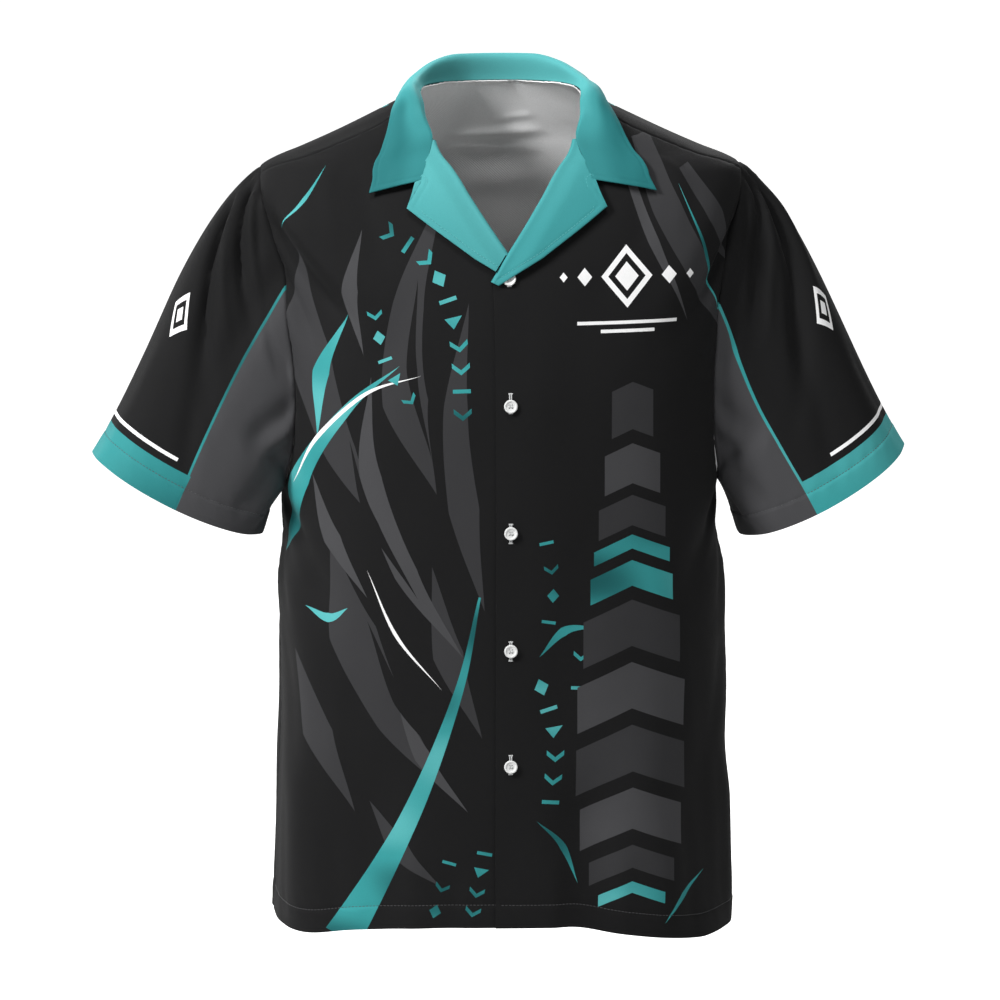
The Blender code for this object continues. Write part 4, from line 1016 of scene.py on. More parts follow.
def stitch_along(line, normals):
    """Lays stitches along a line on the cloth."""
    lengths = lengths_along(line)
    count = int(lengths[-1] // STITCH_PITCH)
    at = (np.arange(count) + 0.5) * lengths[-1] / max(count, 1)
    start, end = (read_at(at + off, lengths, line) for off in (-STITCH_LENGTH / 2, STITCH_LENGTH / 2))
    STITCHES.append(((start + end) / 2, unit(end - start), unit(read_at(at, lengths, normals))))


def take_stitches(name, material, length=STITCH_LENGTH, radius=STITCH_RADIUS):
    """Makes one object of the stitches laid so far, and starts afresh."""
    middles, ways, outs = (np.concatenate([group[k] for group in STITCHES]) for k in range(3))
    STITCHES.clear()
    across = unit(np.cross(ways, outs))
    turns = np.arange(STITCH_SIDES) * 2 * math.pi / STITCH_SIDES
    points = []
    for place, thickness, rise in STITCH_RINGS:
        centre = middles + ways * place * length + outs * rise
        for turn in turns:
            aside = across * math.cos(turn) + outs * math.sin(turn)
            points.append(centre + aside * thickness * radius)
    points = np.stack(points, axis=1)
    faces = []
    for ring in range(len(STITCH_RINGS) - 1):
        for side in range(STITCH_SIDES):
            a, b = ring * STITCH_SIDES + side, ring * STITCH_SIDES + (side + 1) % STITCH_SIDES
            faces.append((a, b, b + STITCH_SIDES, a + STITCH_SIDES))
    first = range(STITCH_SIDES)
    faces += [first[::-1], [(len(STITCH_RINGS) - 1) * STITCH_SIDES + side for side in first]]
    starts = np.arange(len(points)) * points.shape[1]
    all_faces = [tuple(int(start) + i for i in face) for start in starts for face in faces]
    return new_object(name, points.reshape(-1, 3), all_faces, [material], smooth_below=180.0)


# --- body panels ---

ROLL_OFF = (1.2, 3.2)  # helper lines inside a panel's edge
BESIDE_STITCHES = (-1.1, 0.0, 1.1)  # helper lines beside a row of stitches
OVER_CLOTH = 0.10  # a thread's middle over the cloth's face


def overlap_lift(girth):
    """The top front rides over the lower one near the centre front."""
    blend = smooth_step(OVERLAP_START, OVERLAP_START + OVERLAP_BLEND, girth)
    return (CLOTH + OVERLAP_GAP) * (1 - blend)


def no_lift(girth):
    return np.zeros(np.shape(girth))


def seam_sink(away, girth, run):
    """How the cloth sinks to a sewn edge, with the small waves that the sewing draws up."""
    dip = SEAM_DIP * np.exp(-((away / SEAM_REACH) ** 2))
    wave = PUCKER
    for per_run, per_girth, phase in PUCKER_WAVES:
        wave = wave * np.sin(per_run * run + per_girth * girth + phase)
    return wave * np.exp(-((away / PUCKER_REACH) ** 2)) - dip


def hem_shape(rise, girth):
    """The turned-up hem, `rise` above its edge: prouder below its row of stitches."""
    pad = HEM_PAD * smooth_step(HEM_DEPTH + HEM_STEP, HEM_DEPTH - HEM_STEP, rise)
    groove = STITCH_GROOVE * np.exp(-((rise - HEM_DEPTH) ** 2))
    height, per_girth, per_rise, reach = HEM_WAVE
    wave = height * np.sin(per_girth * girth + per_rise * rise)
    return pad - groove + wave * np.exp(-(((rise - HEM_DEPTH) / reach) ** 2))


def panel_surface(places, sewn, lift):
    """Mid surface of a body panel with everything that shapes it."""
    girth, run = places[:, 0], places[:, 1]
    height = lift(girth) + drape(girth, run) + seam_sink(distance_to(sewn, places), girth, run)
    return body(girth, run, height + hem_shape(hem_run(girth) - run, girth))


def helper_lines(outline, hem):
    lines = []
    for distance in ROLL_OFF:
        loop = inset(outline, distance)
        lines.append(np.concatenate([loop, loop[:1]]))
    for off in BESIDE_STITCHES:
        lines.append(hem - (0.0, HEM_DEPTH + off))
    return lines


def dress_panel(name, edges, hem, prints, lift, materials, thread):
    """One panel of the body in its printed cloth, with the stitches of its hem."""
    outline = inset(joined([line for line, _ in edges]), SEAM_GAP / 2)
    sewn = [line for line, is_sewn in edges if is_sewn]
    places, triangles, inks = cut_panel(outline, helper_lines(outline, hem), prints)
    mid = panel_surface(places, sewn, lift)
    piece, _ = cloth_piece(name, mid, places, triangles, inks, materials)
    row = resampled(hem - (0.0, HEM_DEPTH), STITCH_PITCH)
    out = normals_of(body, row[:, 0], row[:, 1])
    stitch_along(panel_surface(row, sewn, lift) + out * (OUTER + OVER_CLOTH), out)
    stitches = take_stitches(name + "_hem_stitches", thread)
    finish_cloth(piece, abs(signed_area(outline)) * METRE**2, [stitches])


def finish_cloth(piece, area, added):
    for thing in [piece] + added:
        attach(thing, "root")
    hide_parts(NODE_OF[piece.name])


def dress_fronts(materials, thread):
    for name, side, lift in (("left_front", 1, overlap_lift), ("right_front", -1, no_lift)):
        flip = (side, 1.0)
        edges = [(line * flip, is_sewn) for line, is_sewn in front_lines(side)]
        hem = hem_line(-front_edge(), QUARTER, side)[1:-1] * flip
        dress_panel(name, edges, hem, front_prints(), lift, materials, thread)


def back_edges():
    right = [
        (np.stack([4 * QUARTER - line[:, 0], line[:, 1]], axis=1)[::-1], is_sewn)
        for line, is_sewn in half_back_lines(-1)[::-1]
    ]
    return list(half_back_lines(1)) + right


def dress_back(materials, thread):
    edges = back_edges()
    left_hem, right_hem = (line for line, is_sewn in edges if not is_sewn)
    hem = np.concatenate([left_hem, right_hem[1:]])[1:-1]
    dress_panel("back_panel", edges, hem, back_prints(), no_lift, materials, thread)


# --- doubled cloth of the collar and the lapels ---

EDGE_STEPS = (5.6, 4.6, 3.6, 1.2, 0.6, 0.25, 0.0)  # rows this far from a turned edge
EDGE_ZONE = 6.8  # the even rows end this far from it
NARROW = 14.0  # a narrower piece draws these in
EDGE_ROUND = 1.0
LEAST_HALF = 0.12
PINCH = 0.26  # the stitches draw the two layers together by this much
PINCH_REACH = 0.8
SEWN_HEIGHT = COLLAR_HALF - PINCH + OVER_CLOTH
SEWING_SEARCH = 12  # rows in from the nearest row in which the line at EDGE_SEWING is looked for


def rows_to_edge(length, count):
    """Distances of the rows along a line of this length that ends at a turned edge."""
    squeeze = min(1.0, length / NARROW)
    even = np.linspace(0, length - EDGE_ZONE * squeeze, count)
    return np.concatenate([even, length - np.array(EDGE_STEPS) * squeeze])


def half_thickness(away):
    """Half the thickness of doubled cloth this far from its turned edge."""
    t = np.clip(away / EDGE_ROUND, 0, 1)
    pinch = PINCH * np.exp(-(((away - EDGE_SEWING) / PINCH_REACH) ** 2))
    return np.maximum(COLLAR_HALF * np.sqrt(1 - (1 - t) ** 2) - pinch, LEAST_HALF)


def grid_piece(name, grid, flat, away, materials, flipped, tone):
    """A piece of doubled teal cloth from a grid of mid points in columns."""
    triangles = grid_triangles(*grid.shape[:2])
    if flipped:
        triangles = triangles[:, ::-1]
    half = half_thickness(away.ravel())
    inks = np.full(len(triangles), TEAL)
    mid, flat = grid.reshape(-1, 3), flat.reshape(-1, 2)
    piece, normals = cloth_piece(
        name, mid, flat, triangles, inks, materials, half, half, TEAL, tone.ravel()
    )
    return piece, normals.reshape(grid.shape)


def flat_area(flat):
    """Area of a grid of flat places."""
    across, down = flat[1:, :-1] - flat[:-1, :-1], flat[:-1, 1:] - flat[:-1, :-1]
    return float(np.abs(across[..., 0] * down[..., 1] - across[..., 1] * down[..., 0]).sum())


# --- lapels ---

# Painted shade of each lapel: the wearer's left lapel is painted darker than the right one.
LAPEL_PAINTED_SHADES = {"right_lapel": 0.86, "left_lapel": 0.58}
LAPEL_TONE = (0.12, 23.0, 31.0)  # share, run and girth for each radian of the wave


def roll_line():
    """The break: its lower end, its upper end and the unit directions along it and out."""
    low, top = np.array(front_place(-OVERLAP, BREAK_Z)), np.array(front_place(*ROLL_TOP))
    along = (top - low) / np.linalg.norm(top - low)
    out = np.array([-along[1], along[0]])
    return low, top, along, out


BREAK = roll_line()


def gorge_places(shares):
    """Places on the seam between collar and lapel, from the break out to the notch."""
    way = np.subtract(NOTCH, ROLL_TOP)
    return places_at(*(top + step * np.asarray(shares) for top, step in zip(ROLL_TOP, way)))


def from_break(places):
    """How far places are along the break and out of it, and their angle round its roll."""
    low, _, along, out = BREAK
    s, w = (places - low) @ along, (places - low) @ out
    return s, w, np.clip(-w / ROLL_RADIUS, 0, math.pi)


def lapel_height(places):
    """How far a lapel's mid surface stands over the front."""
    s, w, angle = from_break(places)
    upper = smooth_step(0.5, 1.0, s / np.linalg.norm(BREAK[1] - BREAK[0]))
    rise = LAPEL_RISE * smooth_step(0.0, LAPEL_RISE_WIDTH, w) * (1 - UPPER_SINK * upper)
    return np.where(w >= 0, ROLL_RADIUS + rise, ROLL_RADIUS * np.cos(angle))


def lapel_surface(places, base_lift, side):
    """Points of a lapel: its flat width from the break is wrapped round the front's edge."""
    low, _, along, out = BREAK
    s, w, angle = from_break(places)
    under = np.maximum(-w - math.pi * ROLL_RADIUS, 0.0)
    flat_w = np.where(w >= 0, w, -ROLL_RADIUS * np.sin(angle) + under)
    place = low + s[:, None] * along + flat_w[:, None] * out
    girth, run = place[:, 0], place[:, 1]
    lift = base_lift(girth) + lapel_height(places) + drape(side * girth, run)
    return body(side * girth, run, lift)


def tuck_line_cut(one, two):
    """Where the line from one to two passes the limit that the upper lapel leaves."""
    low, _, _, out = BREAK
    mirror_low, mirror_out = low * (-1, 1), out * (-1, 1)
    limit = LAPEL_TUCK + ROLL_RADIUS
    d1, d2 = (-(point - mirror_low) @ mirror_out - limit for point in (one, two))
    return one + (two - one) * d1 / (d1 - d2)


def lapel_corners(tucked):
    """The break's ends on the lapel, the four corners of its edge and the way below the gorge."""
    low, top, along, out = BREAK
    notch, point = np.array(front_place(*NOTCH)), np.array(front_place(*LAPEL_POINT))
    dip, tip = np.array(front_place(*LAPEL_LOW)), low + out * LAPEL_TIP
    first, edge_start = low + along * LAPEL_START, tip + along * LAPEL_START
    if tucked:
        first, edge_start = tuck_line_cut(low, top), tuck_line_cut(tip, dip)
    gorge = unit(notch - top)
    below = np.array([gorge[1], -gorge[0]])
    if below @ along > 0:
        below = -below
    edge = np.stack([edge_start, dip, point, notch + below * GORGE_GAP])
    return first, top - along * BREAK_TOP_GAP, edge, below


def lapel_grid(tucked):
    """Flat places in columns along the break, each from under the front out to the edge."""
    out = BREAK[3]
    first, last, corners, below = lapel_corners(tucked)
    long_edge = divided(corners[:3], LAPEL_LONG_COLUMNS)
    edge = np.concatenate([long_edge, divided(corners[2:], LAPEL_SHORT_COLUMNS)[1:]])
    columns = []
    for column, edge_place in enumerate(edge):
        share = column / (len(edge) - 1)
        roll_place = first + (last - first) * share
        # Where the upper lapel lies on the other front its fold stops short of going under.
        open_below = 1.0 if tucked else float(smooth_step(*FOLD_OPENS, share))
        bend_width = math.pi * ROLL_RADIUS * (LEAST_FOLD + (1 - LEAST_FOLD) * open_below)
        narrowing = min(1.0, (1 - share) * UNDER_NARROWS)
        strip = LEAST_UNDER + (ROLL_UNDER - LEAST_UNDER) * open_below * narrowing
        rows = [roll_place - out * (strip + bend_width)]
        for bend in range(LAPEL_BEND_ROWS, 0, -1):
            rows.append(roll_place - out * bend_width * bend / LAPEL_BEND_ROWS)
        length = np.linalg.norm(edge_place - roll_place)
        shares = rows_to_edge(length, LAPEL_ROWS) / length
        columns.append(rows + list(roll_place + shares[:, None] * (edge_place - roll_place)))
    grid = np.array(columns)
    # The gorge is bowed on the flat cloth, and the columns near it take a share of that bow.
    straight = last + shares[:, None] * (corners[3] - last)
    bow = gorge_places(shares) + below * GORGE_GAP - straight
    fade = np.linspace(0, 1, len(grid)) ** BOW_POWER
    grid[:, LAPEL_BEND_ROWS + 1 :] += fade[:, None, None] * bow
    return grid, corners


def dress_lapel(name, tucked, materials, thread):
    grid, edge = lapel_grid(tucked)
    columns, rows = grid.shape[:2]
    places = grid.reshape(-1, 2)
    base = (no_lift, -1) if tucked else (overlap_lift, 1)
    mid = lapel_surface(places, *base).reshape(columns, rows, 3)
    away = distance_to([edge], places).reshape(columns, rows)
    away[:, : LAPEL_BEND_ROWS + 1] = NARROW
    # The lapel's painted shade, with slight waves of tone.
    tone = LAPEL_PAINTED_SHADES[name] + wave_of(places[:, 1], places[:, 0], *LAPEL_TONE)
    piece, normals = grid_piece(name, mid, grid, away, materials, not tucked, tone)
    # The row of stitches keeps its distance from the long edge and from the short one.
    row = int(np.argmin(np.abs(away[columns // 2, LAPEL_BEND_ROWS + 2 :] - EDGE_SEWING)))
    row += LAPEL_BEND_ROWS + 2
    stitch_along(*sewing_line(mid, normals, away, row))
    stitches = take_stitches(name + "_stitches", thread)
    finish_cloth(piece, flat_area(grid) * METRE**2, [stitches])


def sewing_line(mid, normals, away, row):
    """A line of (points, normals) at EDGE_SEWING from the edges, found column by column."""
    points, outs = [], []
    for column in range(len(mid)):
        inner = slice(max(row - SEWING_SEARCH, 0), len(mid[column]))
        distances = away[column, inner][::-1]
        if distances.max() >= EDGE_SEWING:
            points.append(read_at(EDGE_SEWING, distances, mid[column, inner][::-1]))
            outs.append(read_at(EDGE_SEWING, distances, normals[column, inner][::-1]))
    points, outs = np.array(points), unit(np.array(outs))
    return points + outs * SEWN_HEIGHT, outs


# --- collar ---

SECTION_STEPS = 61
STAND_SWEEP = 0.4
ROLL_SHARE = 0.18
OVER_ROLL = 1.3
OVER_FALL = 0.33
EDGE_PULL = 0.30
LAPEL_BULGE = 1.5  # how far the leaf stands off its straight way on the lapel
NECK_BULGE = 3.0  # and round the neck
LENGTH_PER_STATION = 190.0
# Painted light and shade on the collar's teal: light on the roll and stand, darker down the falling
# leaves and at the gorge.
COLLAR_BACK_PAINTED_LIGHT = 1.0
COLLAR_LEAF_PAINTED_SHADES = (0.66, 0.04)  # of the leaves, from the roll to the edge
LEAF_STATIONS = (0.40, 0.66)  # where the back's tone becomes the leaves' tones
PAINTED_SHADE_DOWN = (0.18, 0.67)  # share of the way down a leaf where its tone changes
GORGE_PAINTED_SHADE = 0.42  # darker where the collar meets the lapel
GORGE_STATIONS = (0.68, 0.84)
STAND_STITCH_ROW = 4
END_STITCHES_ROW = STAND_ROWS + 4
STAND_STITCHES_END = 0.42  # station
# Slight waves that the sewn edge of a doubled collar has: height, length along, length down
COLLAR_WAVES = ((0.35, 7.5, math.inf), (0.3, 17.0, 9.0))
WAVE_FADE = (26.0, 12.0)  # distances from the edge where the waves begin and are full


def bezier(p0, p1, p2, p3, t):
    """From p0 to p3, drawn toward p1 and p2."""
    return cubic(t, p0, 3 * (p1 - p0), p3, 3 * (p3 - p2))


def collar_seam_place(station, angle, z):
    """(girth, run) of the collar's seam: round the neck, and then along the gorge."""
    if station < ROLL_TOP_STATION:
        return np.array([float(girth_at(angle)), float(run_at(z))])
    share = (station - ROLL_TOP_STATION) / (1 - ROLL_TOP_STATION)
    return gorge_places(share) - BREAK[3] * COLLAR_TUCK_IN * (1 - share)


def collar_section(station, side):
    """Points from the neck seam up the stand, over the roll and down to the free edge."""
    table = np.array(COLLAR_STATIONS)
    at = np.linspace(0, 1, len(table))
    seam_a, seam_z, stand, lean, edge_a, edge_z, lift = (
        float(smooth_through(at, column, station)) for column in table.T
    )
    flat = float(smooth_step(ON_LAPEL_START, ROLL_TOP_STATION, station))
    edge_a += side * COLLAR_SHIFT * max(0.0, (station - SHIFT_START) / (1 - SHIFT_START))
    seam_place = collar_seam_place(station, seam_a, seam_z)
    edge_place = np.array([float(girth_at(edge_a)), float(run_at(edge_z))])
    under = float(overlap_lift(seam_place[0])) if side > 0 else 0.0
    on_lapel = float(lapel_height(seam_place[None, :])[0]) + under
    on_lapel += float(drape(side * seam_place[0], seam_place[1]))
    flip = (side, 1.0, 1.0)
    seam = body(side * seam_place[0], seam_place[1], flat * on_lapel) * flip
    edge = body(side * edge_place[0], edge_place[1], lift) * flip
    seam = seam + UP * COLLAR_SEAM_RISE * (1 - flat)
    outward = edge - seam
    outward[2] *= flat
    outward = outward / np.linalg.norm(outward)
    crest = seam + UP * stand + outward * lean
    surface_out = normals_of(plain_body, edge_place[:1], edge_place[1:])[0]
    fall = np.linalg.norm(edge - crest)
    roll = ROLL_SHARE * (1 - flat) * fall
    over = crest + outward * (roll * OVER_ROLL + fall * OVER_FALL * flat)
    over = over + surface_out * LAPEL_BULGE * flat
    into = edge - (edge - crest) * EDGE_PULL
    into = into + surface_out * (NECK_BULGE + (LAPEL_BULGE - NECK_BULGE) * flat)
    t = np.linspace(0, 1, SECTION_STEPS)[:, None]
    rise = bezier(seam, seam + (crest - seam) * STAND_SWEEP, crest - outward * roll, crest, t)
    line = np.concatenate([rise[:-1], bezier(crest, over, into, edge, t)])
    lengths = lengths_along(line)
    total = lengths[-1]
    stand_length = max(lengths[len(rise) - 1], LEAST_STAND_SHARE * total)
    stand_at = np.linspace(0, stand_length, STAND_ROWS + 1)[:-1]
    at = np.concatenate([stand_at, stand_length + rows_to_edge(total - stand_length, FALL_ROWS)])
    return read_at(at, lengths, line), total - at


def both_sides(right, left):
    """Rows from the right notch round the back to the left one, out of two halves."""
    return np.concatenate([right[:0:-1], left])


def collar_grid(stations):
    """Points of the collar in columns, how far each is from the edge and the start, its area."""
    halves = {}
    for side in (1.0, -1.0):
        points, to_edge = zip(*(collar_section(station, side) for station in stations))
        halves[side] = np.array(points) * (side, 1.0, 1.0), np.array(to_edge)
    grid, to_edge = (both_sides(right, left) for right, left in zip(halves[-1.0], halves[1.0]))
    steps = np.linalg.norm(np.diff(grid, axis=0), axis=2)
    from_start = np.concatenate([np.zeros((1, grid.shape[1])), np.cumsum(steps, axis=0)])
    normal = unit(np.cross(np.gradient(grid, axis=1), np.gradient(grid, axis=0)))
    wave = sum(h * np.sin(from_start / a + to_edge / d) for h, a, d in COLLAR_WAVES)
    grid = grid + normal * (wave * smooth_step(*WAVE_FADE, to_edge))[..., None]
    steps_down = np.linalg.norm(np.diff(grid, axis=1), axis=2)
    return grid, to_edge, from_start, float((steps[:, :-1] * steps_down[:-1]).sum())


def collar_painted_shade(stations, to_edge):
    """Painted light along the roll and the stand, and painted shade where the leaves fall away and
    where the collar meets the lapel.
    """
    leaf, gorge = (
        both_sides(half, half)[:, None]
        for half in (smooth_step(*LEAF_STATIONS, stations), smooth_step(*GORGE_STATIONS, stations))
    )
    down = smooth_step(*PAINTED_SHADE_DOWN, 1 - to_edge / to_edge[:, :1])
    tone = COLLAR_BACK_PAINTED_LIGHT + (COLLAR_LEAF_PAINTED_SHADES[0] - COLLAR_BACK_PAINTED_LIGHT) * leaf
    tone = tone + (COLLAR_LEAF_PAINTED_SHADES[1] - COLLAR_LEAF_PAINTED_SHADES[0]) * leaf * down
    return tone - GORGE_PAINTED_SHADE * gorge * (1 - down)


def stitch_collar(stations, grid, normals, row):
    """Rows of stitches along the edge, inside the stand at the back, and at both ends."""
    ends = len(EDGE_STEPS) - 2
    reach = int((stations < STAND_STITCHES_END).sum())
    back = slice(len(stations) - reach, len(stations) + reach - 1)
    down = slice(END_STITCHES_ROW, row + 1)
    for columns, rows, height in (
        (slice(ends, -ends), row, SEWN_HEIGHT),
        (back, STAND_STITCH_ROW, COLLAR_HALF + OVER_CLOTH),
        (ends, down, SEWN_HEIGHT),
        (len(grid) - ends - 1, down, SEWN_HEIGHT),
    ):
        out = normals[columns, rows]
        stitch_along(grid[columns, rows] + out * height, out)


def dress_collar(materials, thread):
    last = 1.0 - COLLAR_END_GAP
    even = np.linspace(0, last - EDGE_ZONE / LENGTH_PER_STATION, COLLAR_COLUMNS)
    stations = np.concatenate([even, last - np.array(EDGE_STEPS) / LENGTH_PER_STATION])
    grid, to_edge, from_start, area = collar_grid(stations)
    away = np.minimum(to_edge, np.minimum(from_start, from_start[-1] - from_start))
    flat = np.stack([from_start, -to_edge], axis=2)
    # The collar's painted light and shade.
    tone = collar_painted_shade(stations, to_edge)
    piece, normals = grid_piece("camp_collar", grid, flat, away, materials, True, tone)
    row = grid.shape[1] - len(EDGE_STEPS) + EDGE_STEPS.index(EDGE_SEWING)
    stitch_collar(stations, grid, normals, row)
    stitches = take_stitches("camp_collar_stitches", thread)
    finish_cloth(piece, area * METRE**2, [stitches])


# --- sleeves ---

# Painted shade of each sleeve's teal print: the wearer's right sleeve is painted darker.
SLEEVE_PAINTED_SHADES = {"sleeve_left": 0.62, "sleeve_right": 0.20}
SLEEVE_TONE = (0.12, 31.0, 47.0)  # share, run and girth for each radian of the wave
# Slight unevenness: height, degrees for each radian, radians for the length, phase
SLEEVE_WAVES = ((0.30, 11.0, 5.0, 0.0), (0.22, 6.2, -8.0, 1.0))
ALONG_STEP = 0.01
OUTLINE_ROUND = 108  # points of a sleeve's outline round it
OUTLINE_DOWN = 56  # and down its underarm seam
LENGTH_STEPS = 16
LINE_COUNT = 121
UNDERARM_GAP = 0.08  # between the two edges of the underarm seam, in degrees


def cuff_points(turn, ends):
    outer, inner = np.array(ends[0]), np.array(ends[1])
    centre, reach = (outer + inner) / 2, (outer - inner) / 2
    c, s = np.cos(np.radians(turn)), np.sin(np.radians(turn))
    y = -CUFF_HALF_DEPTH * s * (1 + CUFF_SQUARENESS * c * c) + CUFF_FORWARD
    drop = CUFF_FRONT_DROP * np.maximum(s, 0.0) ** 2
    out = (c * (1 + CUFF_SQUARENESS * s * s))[:, None]
    return centre + reach * out + np.stack([0 * y, y, -drop], axis=1), centre


def plain_sleeve(turn, along, ends, side):
    """Points of a sleeve with no folds, drawn on the wearer's left: `side` picks the armhole."""
    turn = np.asarray(turn, float) % 360.0
    back = turn > 180.0
    girth, run = armhole_loop(np.where(back, 360.0 - turn, turn), back)
    start = body(side * girth, run, drape(side * girth, run)) * (side, 1.0, 1.0)
    level = ((1 + np.cos(np.radians(turn))) / 2)[:, None]
    top = level**2
    cap, hang = np.array(CAP_DIRECTION), np.array(SLEEVE_DIRECTION)
    outward = normals_of(plain_body, girth, run)
    leave = unit(hang * (1 - top) + cap * top + outward * SIDE_LEAVE * (1 - level))
    start = start + leave * SLEEVE_START
    cuff, centre = cuff_points(turn, ends)
    reach = np.linalg.norm(cuff - start, axis=1, keepdims=True)
    arrive = unit(hang + unit(cuff - centre) * CUFF_FLARE)
    pull = UNDER_PULL + (CAP_FULLNESS - UNDER_PULL) * top
    along = np.asarray(along, float)[:, None]
    return cubic(along, start, reach * leave * pull, cuff, reach * arrive)


class Sleeve:
    """One sleeve drawn on the wearer's left, with its length at every turn."""

    def __init__(self, node, side):
        self.node, self.ends, self.side = node, CUFFS[node], side
        scale = (MM_PER_TURN, SLEEVE_LENGTH, MM_PER_TURN, SLEEVE_LENGTH, 1, 1)
        self.folds = np.array(SLEEVE_FOLDS + CREASES_ON_BOTH + SLEEVE_CREASES[node]) * scale
        self.turns = np.linspace(-180.0, 180.0, LINE_COUNT)
        steps = np.linspace(0, 1, LENGTH_STEPS)
        lines = np.array([self.plain(self.turns, np.full(LINE_COUNT, step)) for step in steps])
        self.lengths = np.linalg.norm(np.diff(lines, axis=0), axis=2).sum(axis=0)

    def plain(self, turn, along):
        return plain_sleeve(turn, along, self.ends, self.side)

    def length(self, turn):
        return np.interp(turn, self.turns, self.lengths)

    def over_cuff(self, turn, rise):
        """The flat places `rise` millimetres above the cuff's edge."""
        return self.flat(turn, 1.0 - rise / self.length(turn))

    def flat(self, turn, along):
        across, down = np.asarray(turn) * MM_PER_TURN, np.asarray(along) * SLEEVE_LENGTH
        return np.stack(np.broadcast_arrays(across, down), axis=-1)

    def outward(self, turn, along):
        """Directions out of the sleeve at these places."""
        across = self.plain(turn + 1.0, along) - self.plain(turn - 1.0, along)
        before, after = np.maximum(along - ALONG_STEP, 0), np.minimum(along + ALONG_STEP, 1)
        out = unit(np.cross(self.plain(turn, after) - self.plain(turn, before), across))
        centre = self.plain(self.turns, np.full(LINE_COUNT, 0.5)).mean(axis=0)
        return -out if ((self.plain(turn, along) - centre) * out).sum() < 0 else out

    def surface(self, places):
        """Mid points and outward directions of the sleeve at these flat places."""
        across, down = places.T
        turn, along = across / MM_PER_TURN, down / SLEEVE_LENGTH
        length = self.length(turn)
        push = fold_heights(self.folds, across, down, 360.0 * MM_PER_TURN, SLEEVE_FOLD_ENDS)
        for height, per_turn, per_along, phase in SLEEVE_WAVES:
            push += height * np.sin(turn / per_turn + along * per_along + phase)
        push += seam_sink(along * length, across, down) + hem_shape((1 - along) * length, across)
        push -= SLEEVE_TUCK * np.exp(-((along * length / TUCK_REACH) ** 2))
        under = (180.0 - np.abs(turn)) * MM_PER_TURN
        push -= SEAM_DIP * np.exp(-((under / SEAM_REACH) ** 2))
        out = self.outward(turn, along)
        return self.plain(turn, along) + out * push[:, None], out


def sleeve_prints(sleeve):
    """The slate under part, the teal lines, the band, the piping and the small diamonds."""
    flat = sleeve.flat
    along = np.linspace(-PRINT_PAST, 1 + PRINT_PAST, LINE_POINTS)
    middle = smooth_through(*zip(*LINE_TURNS[sleeve.node]), along)
    lines = [flat(way * middle, along) for way in (1, -1)]
    prints = []
    for way, line in zip((1, -1), lines):
        far = flat(way * PAST_UNDERARM, along[[-1, 0]])
        prints.append((np.concatenate([line, far]), SLATE))

    last_turn = LINE_TURNS[sleeve.node][-1][1]
    turns = np.linspace(-last_turn, last_turn, BAND_POINTS)
    band = sleeve.over_cuff(turns, BAND_DEPTH), flat(turns[::-1], 1 + PRINT_PAST)
    prints.append((np.concatenate(band), TEAL))
    turns = np.linspace(-PIPE_TURN, PIPE_TURN, PIPE_POINTS)
    low, high = BAND_DEPTH + PIPE_GAP, BAND_DEPTH + PIPE_GAP + PIPE_DEPTH
    piping = sleeve.over_cuff(turns, low), sleeve.over_cuff(turns[::-1], high)
    prints.append((np.concatenate(piping), WHITE))
    for line in lines:
        prints.append((np.concatenate([line - (LINE_HALF, 0), line[::-1] + (LINE_HALF, 0)]), TEAL))
    for size, ink in EMBLEM:
        prints.append((shape(placed(DIAMOND, flat(*EMBLEM_PLACE), 0, size)), ink))
    return prints


def sleeve_outline(sleeve):
    """The flat outline of a sleeve, and the helper lines inside it."""
    turns = np.linspace(-180.0 + UNDERARM_GAP, 180.0 - UNDERARM_GAP, OUTLINE_ROUND)
    down = np.linspace(0, 1, OUTLINE_DOWN)
    outline = joined((
        sleeve.flat(turns, 0.0),
        sleeve.flat(turns[-1], down),
        sleeve.flat(turns[::-1], 1.0),
        sleeve.flat(turns[0], down[::-1]),
    ))
    turns, down = turns[1:-1], down[1:-1]
    lines = [sleeve.over_cuff(turns, HEM_DEPTH + off) for off in BESIDE_STITCHES]
    lines += [sleeve.flat(turns, off / sleeve.length(turns)) for off in ROLL_OFF]
    for way in (1, -1):
        for off in ROLL_OFF:
            lines.append(sleeve.flat(way * (180.0 - off / MM_PER_TURN), down))
    return outline, lines, resampled(sleeve.over_cuff(turns, HEM_DEPTH), STITCH_PITCH)


def dress_sleeve(name, node, side, materials, thread):
    sleeve = Sleeve(node, side)
    outline, lines, row = sleeve_outline(sleeve)
    places, triangles, inks = cut_panel(outline, lines, sleeve_prints(sleeve))
    places[:, 1] = np.clip(places[:, 1], 0.0, SLEEVE_LENGTH)
    mid, out = sleeve.surface(places)
    row_mid, row_out = sleeve.surface(row)
    line = row_mid + row_out * (OUTER + OVER_CLOTH)
    facing = facing_of(mid, triangles)
    area = float(np.linalg.norm(facing, axis=1).sum() / 2)
    if (facing * out[triangles[:, 0]]).sum() < 0:
        triangles = triangles[:, ::-1]
    if side < 0:
        mid, line, row_out = mirrored(mid), mirrored(line), mirrored(row_out)
        triangles = triangles[:, ::-1]
    # The sleeve's painted shade, with slight waves of tone.
    tone = SLEEVE_PAINTED_SHADES[node] + wave_of(places[:, 1], places[:, 0], *SLEEVE_TONE)
    piece, _ = cloth_piece(name, mid, places, triangles, inks, materials, tone=tone)
    stitch_along(line, row_out)
    stitches = take_stitches(name + "_hem_stitches", thread)
    round_cuff = max(lengths_along(line).max(), 360.0 * MM_PER_TURN)
    finish_cloth(piece, area * METRE**2, [stitches])


# --- buttons, buttonholes and their thread ---

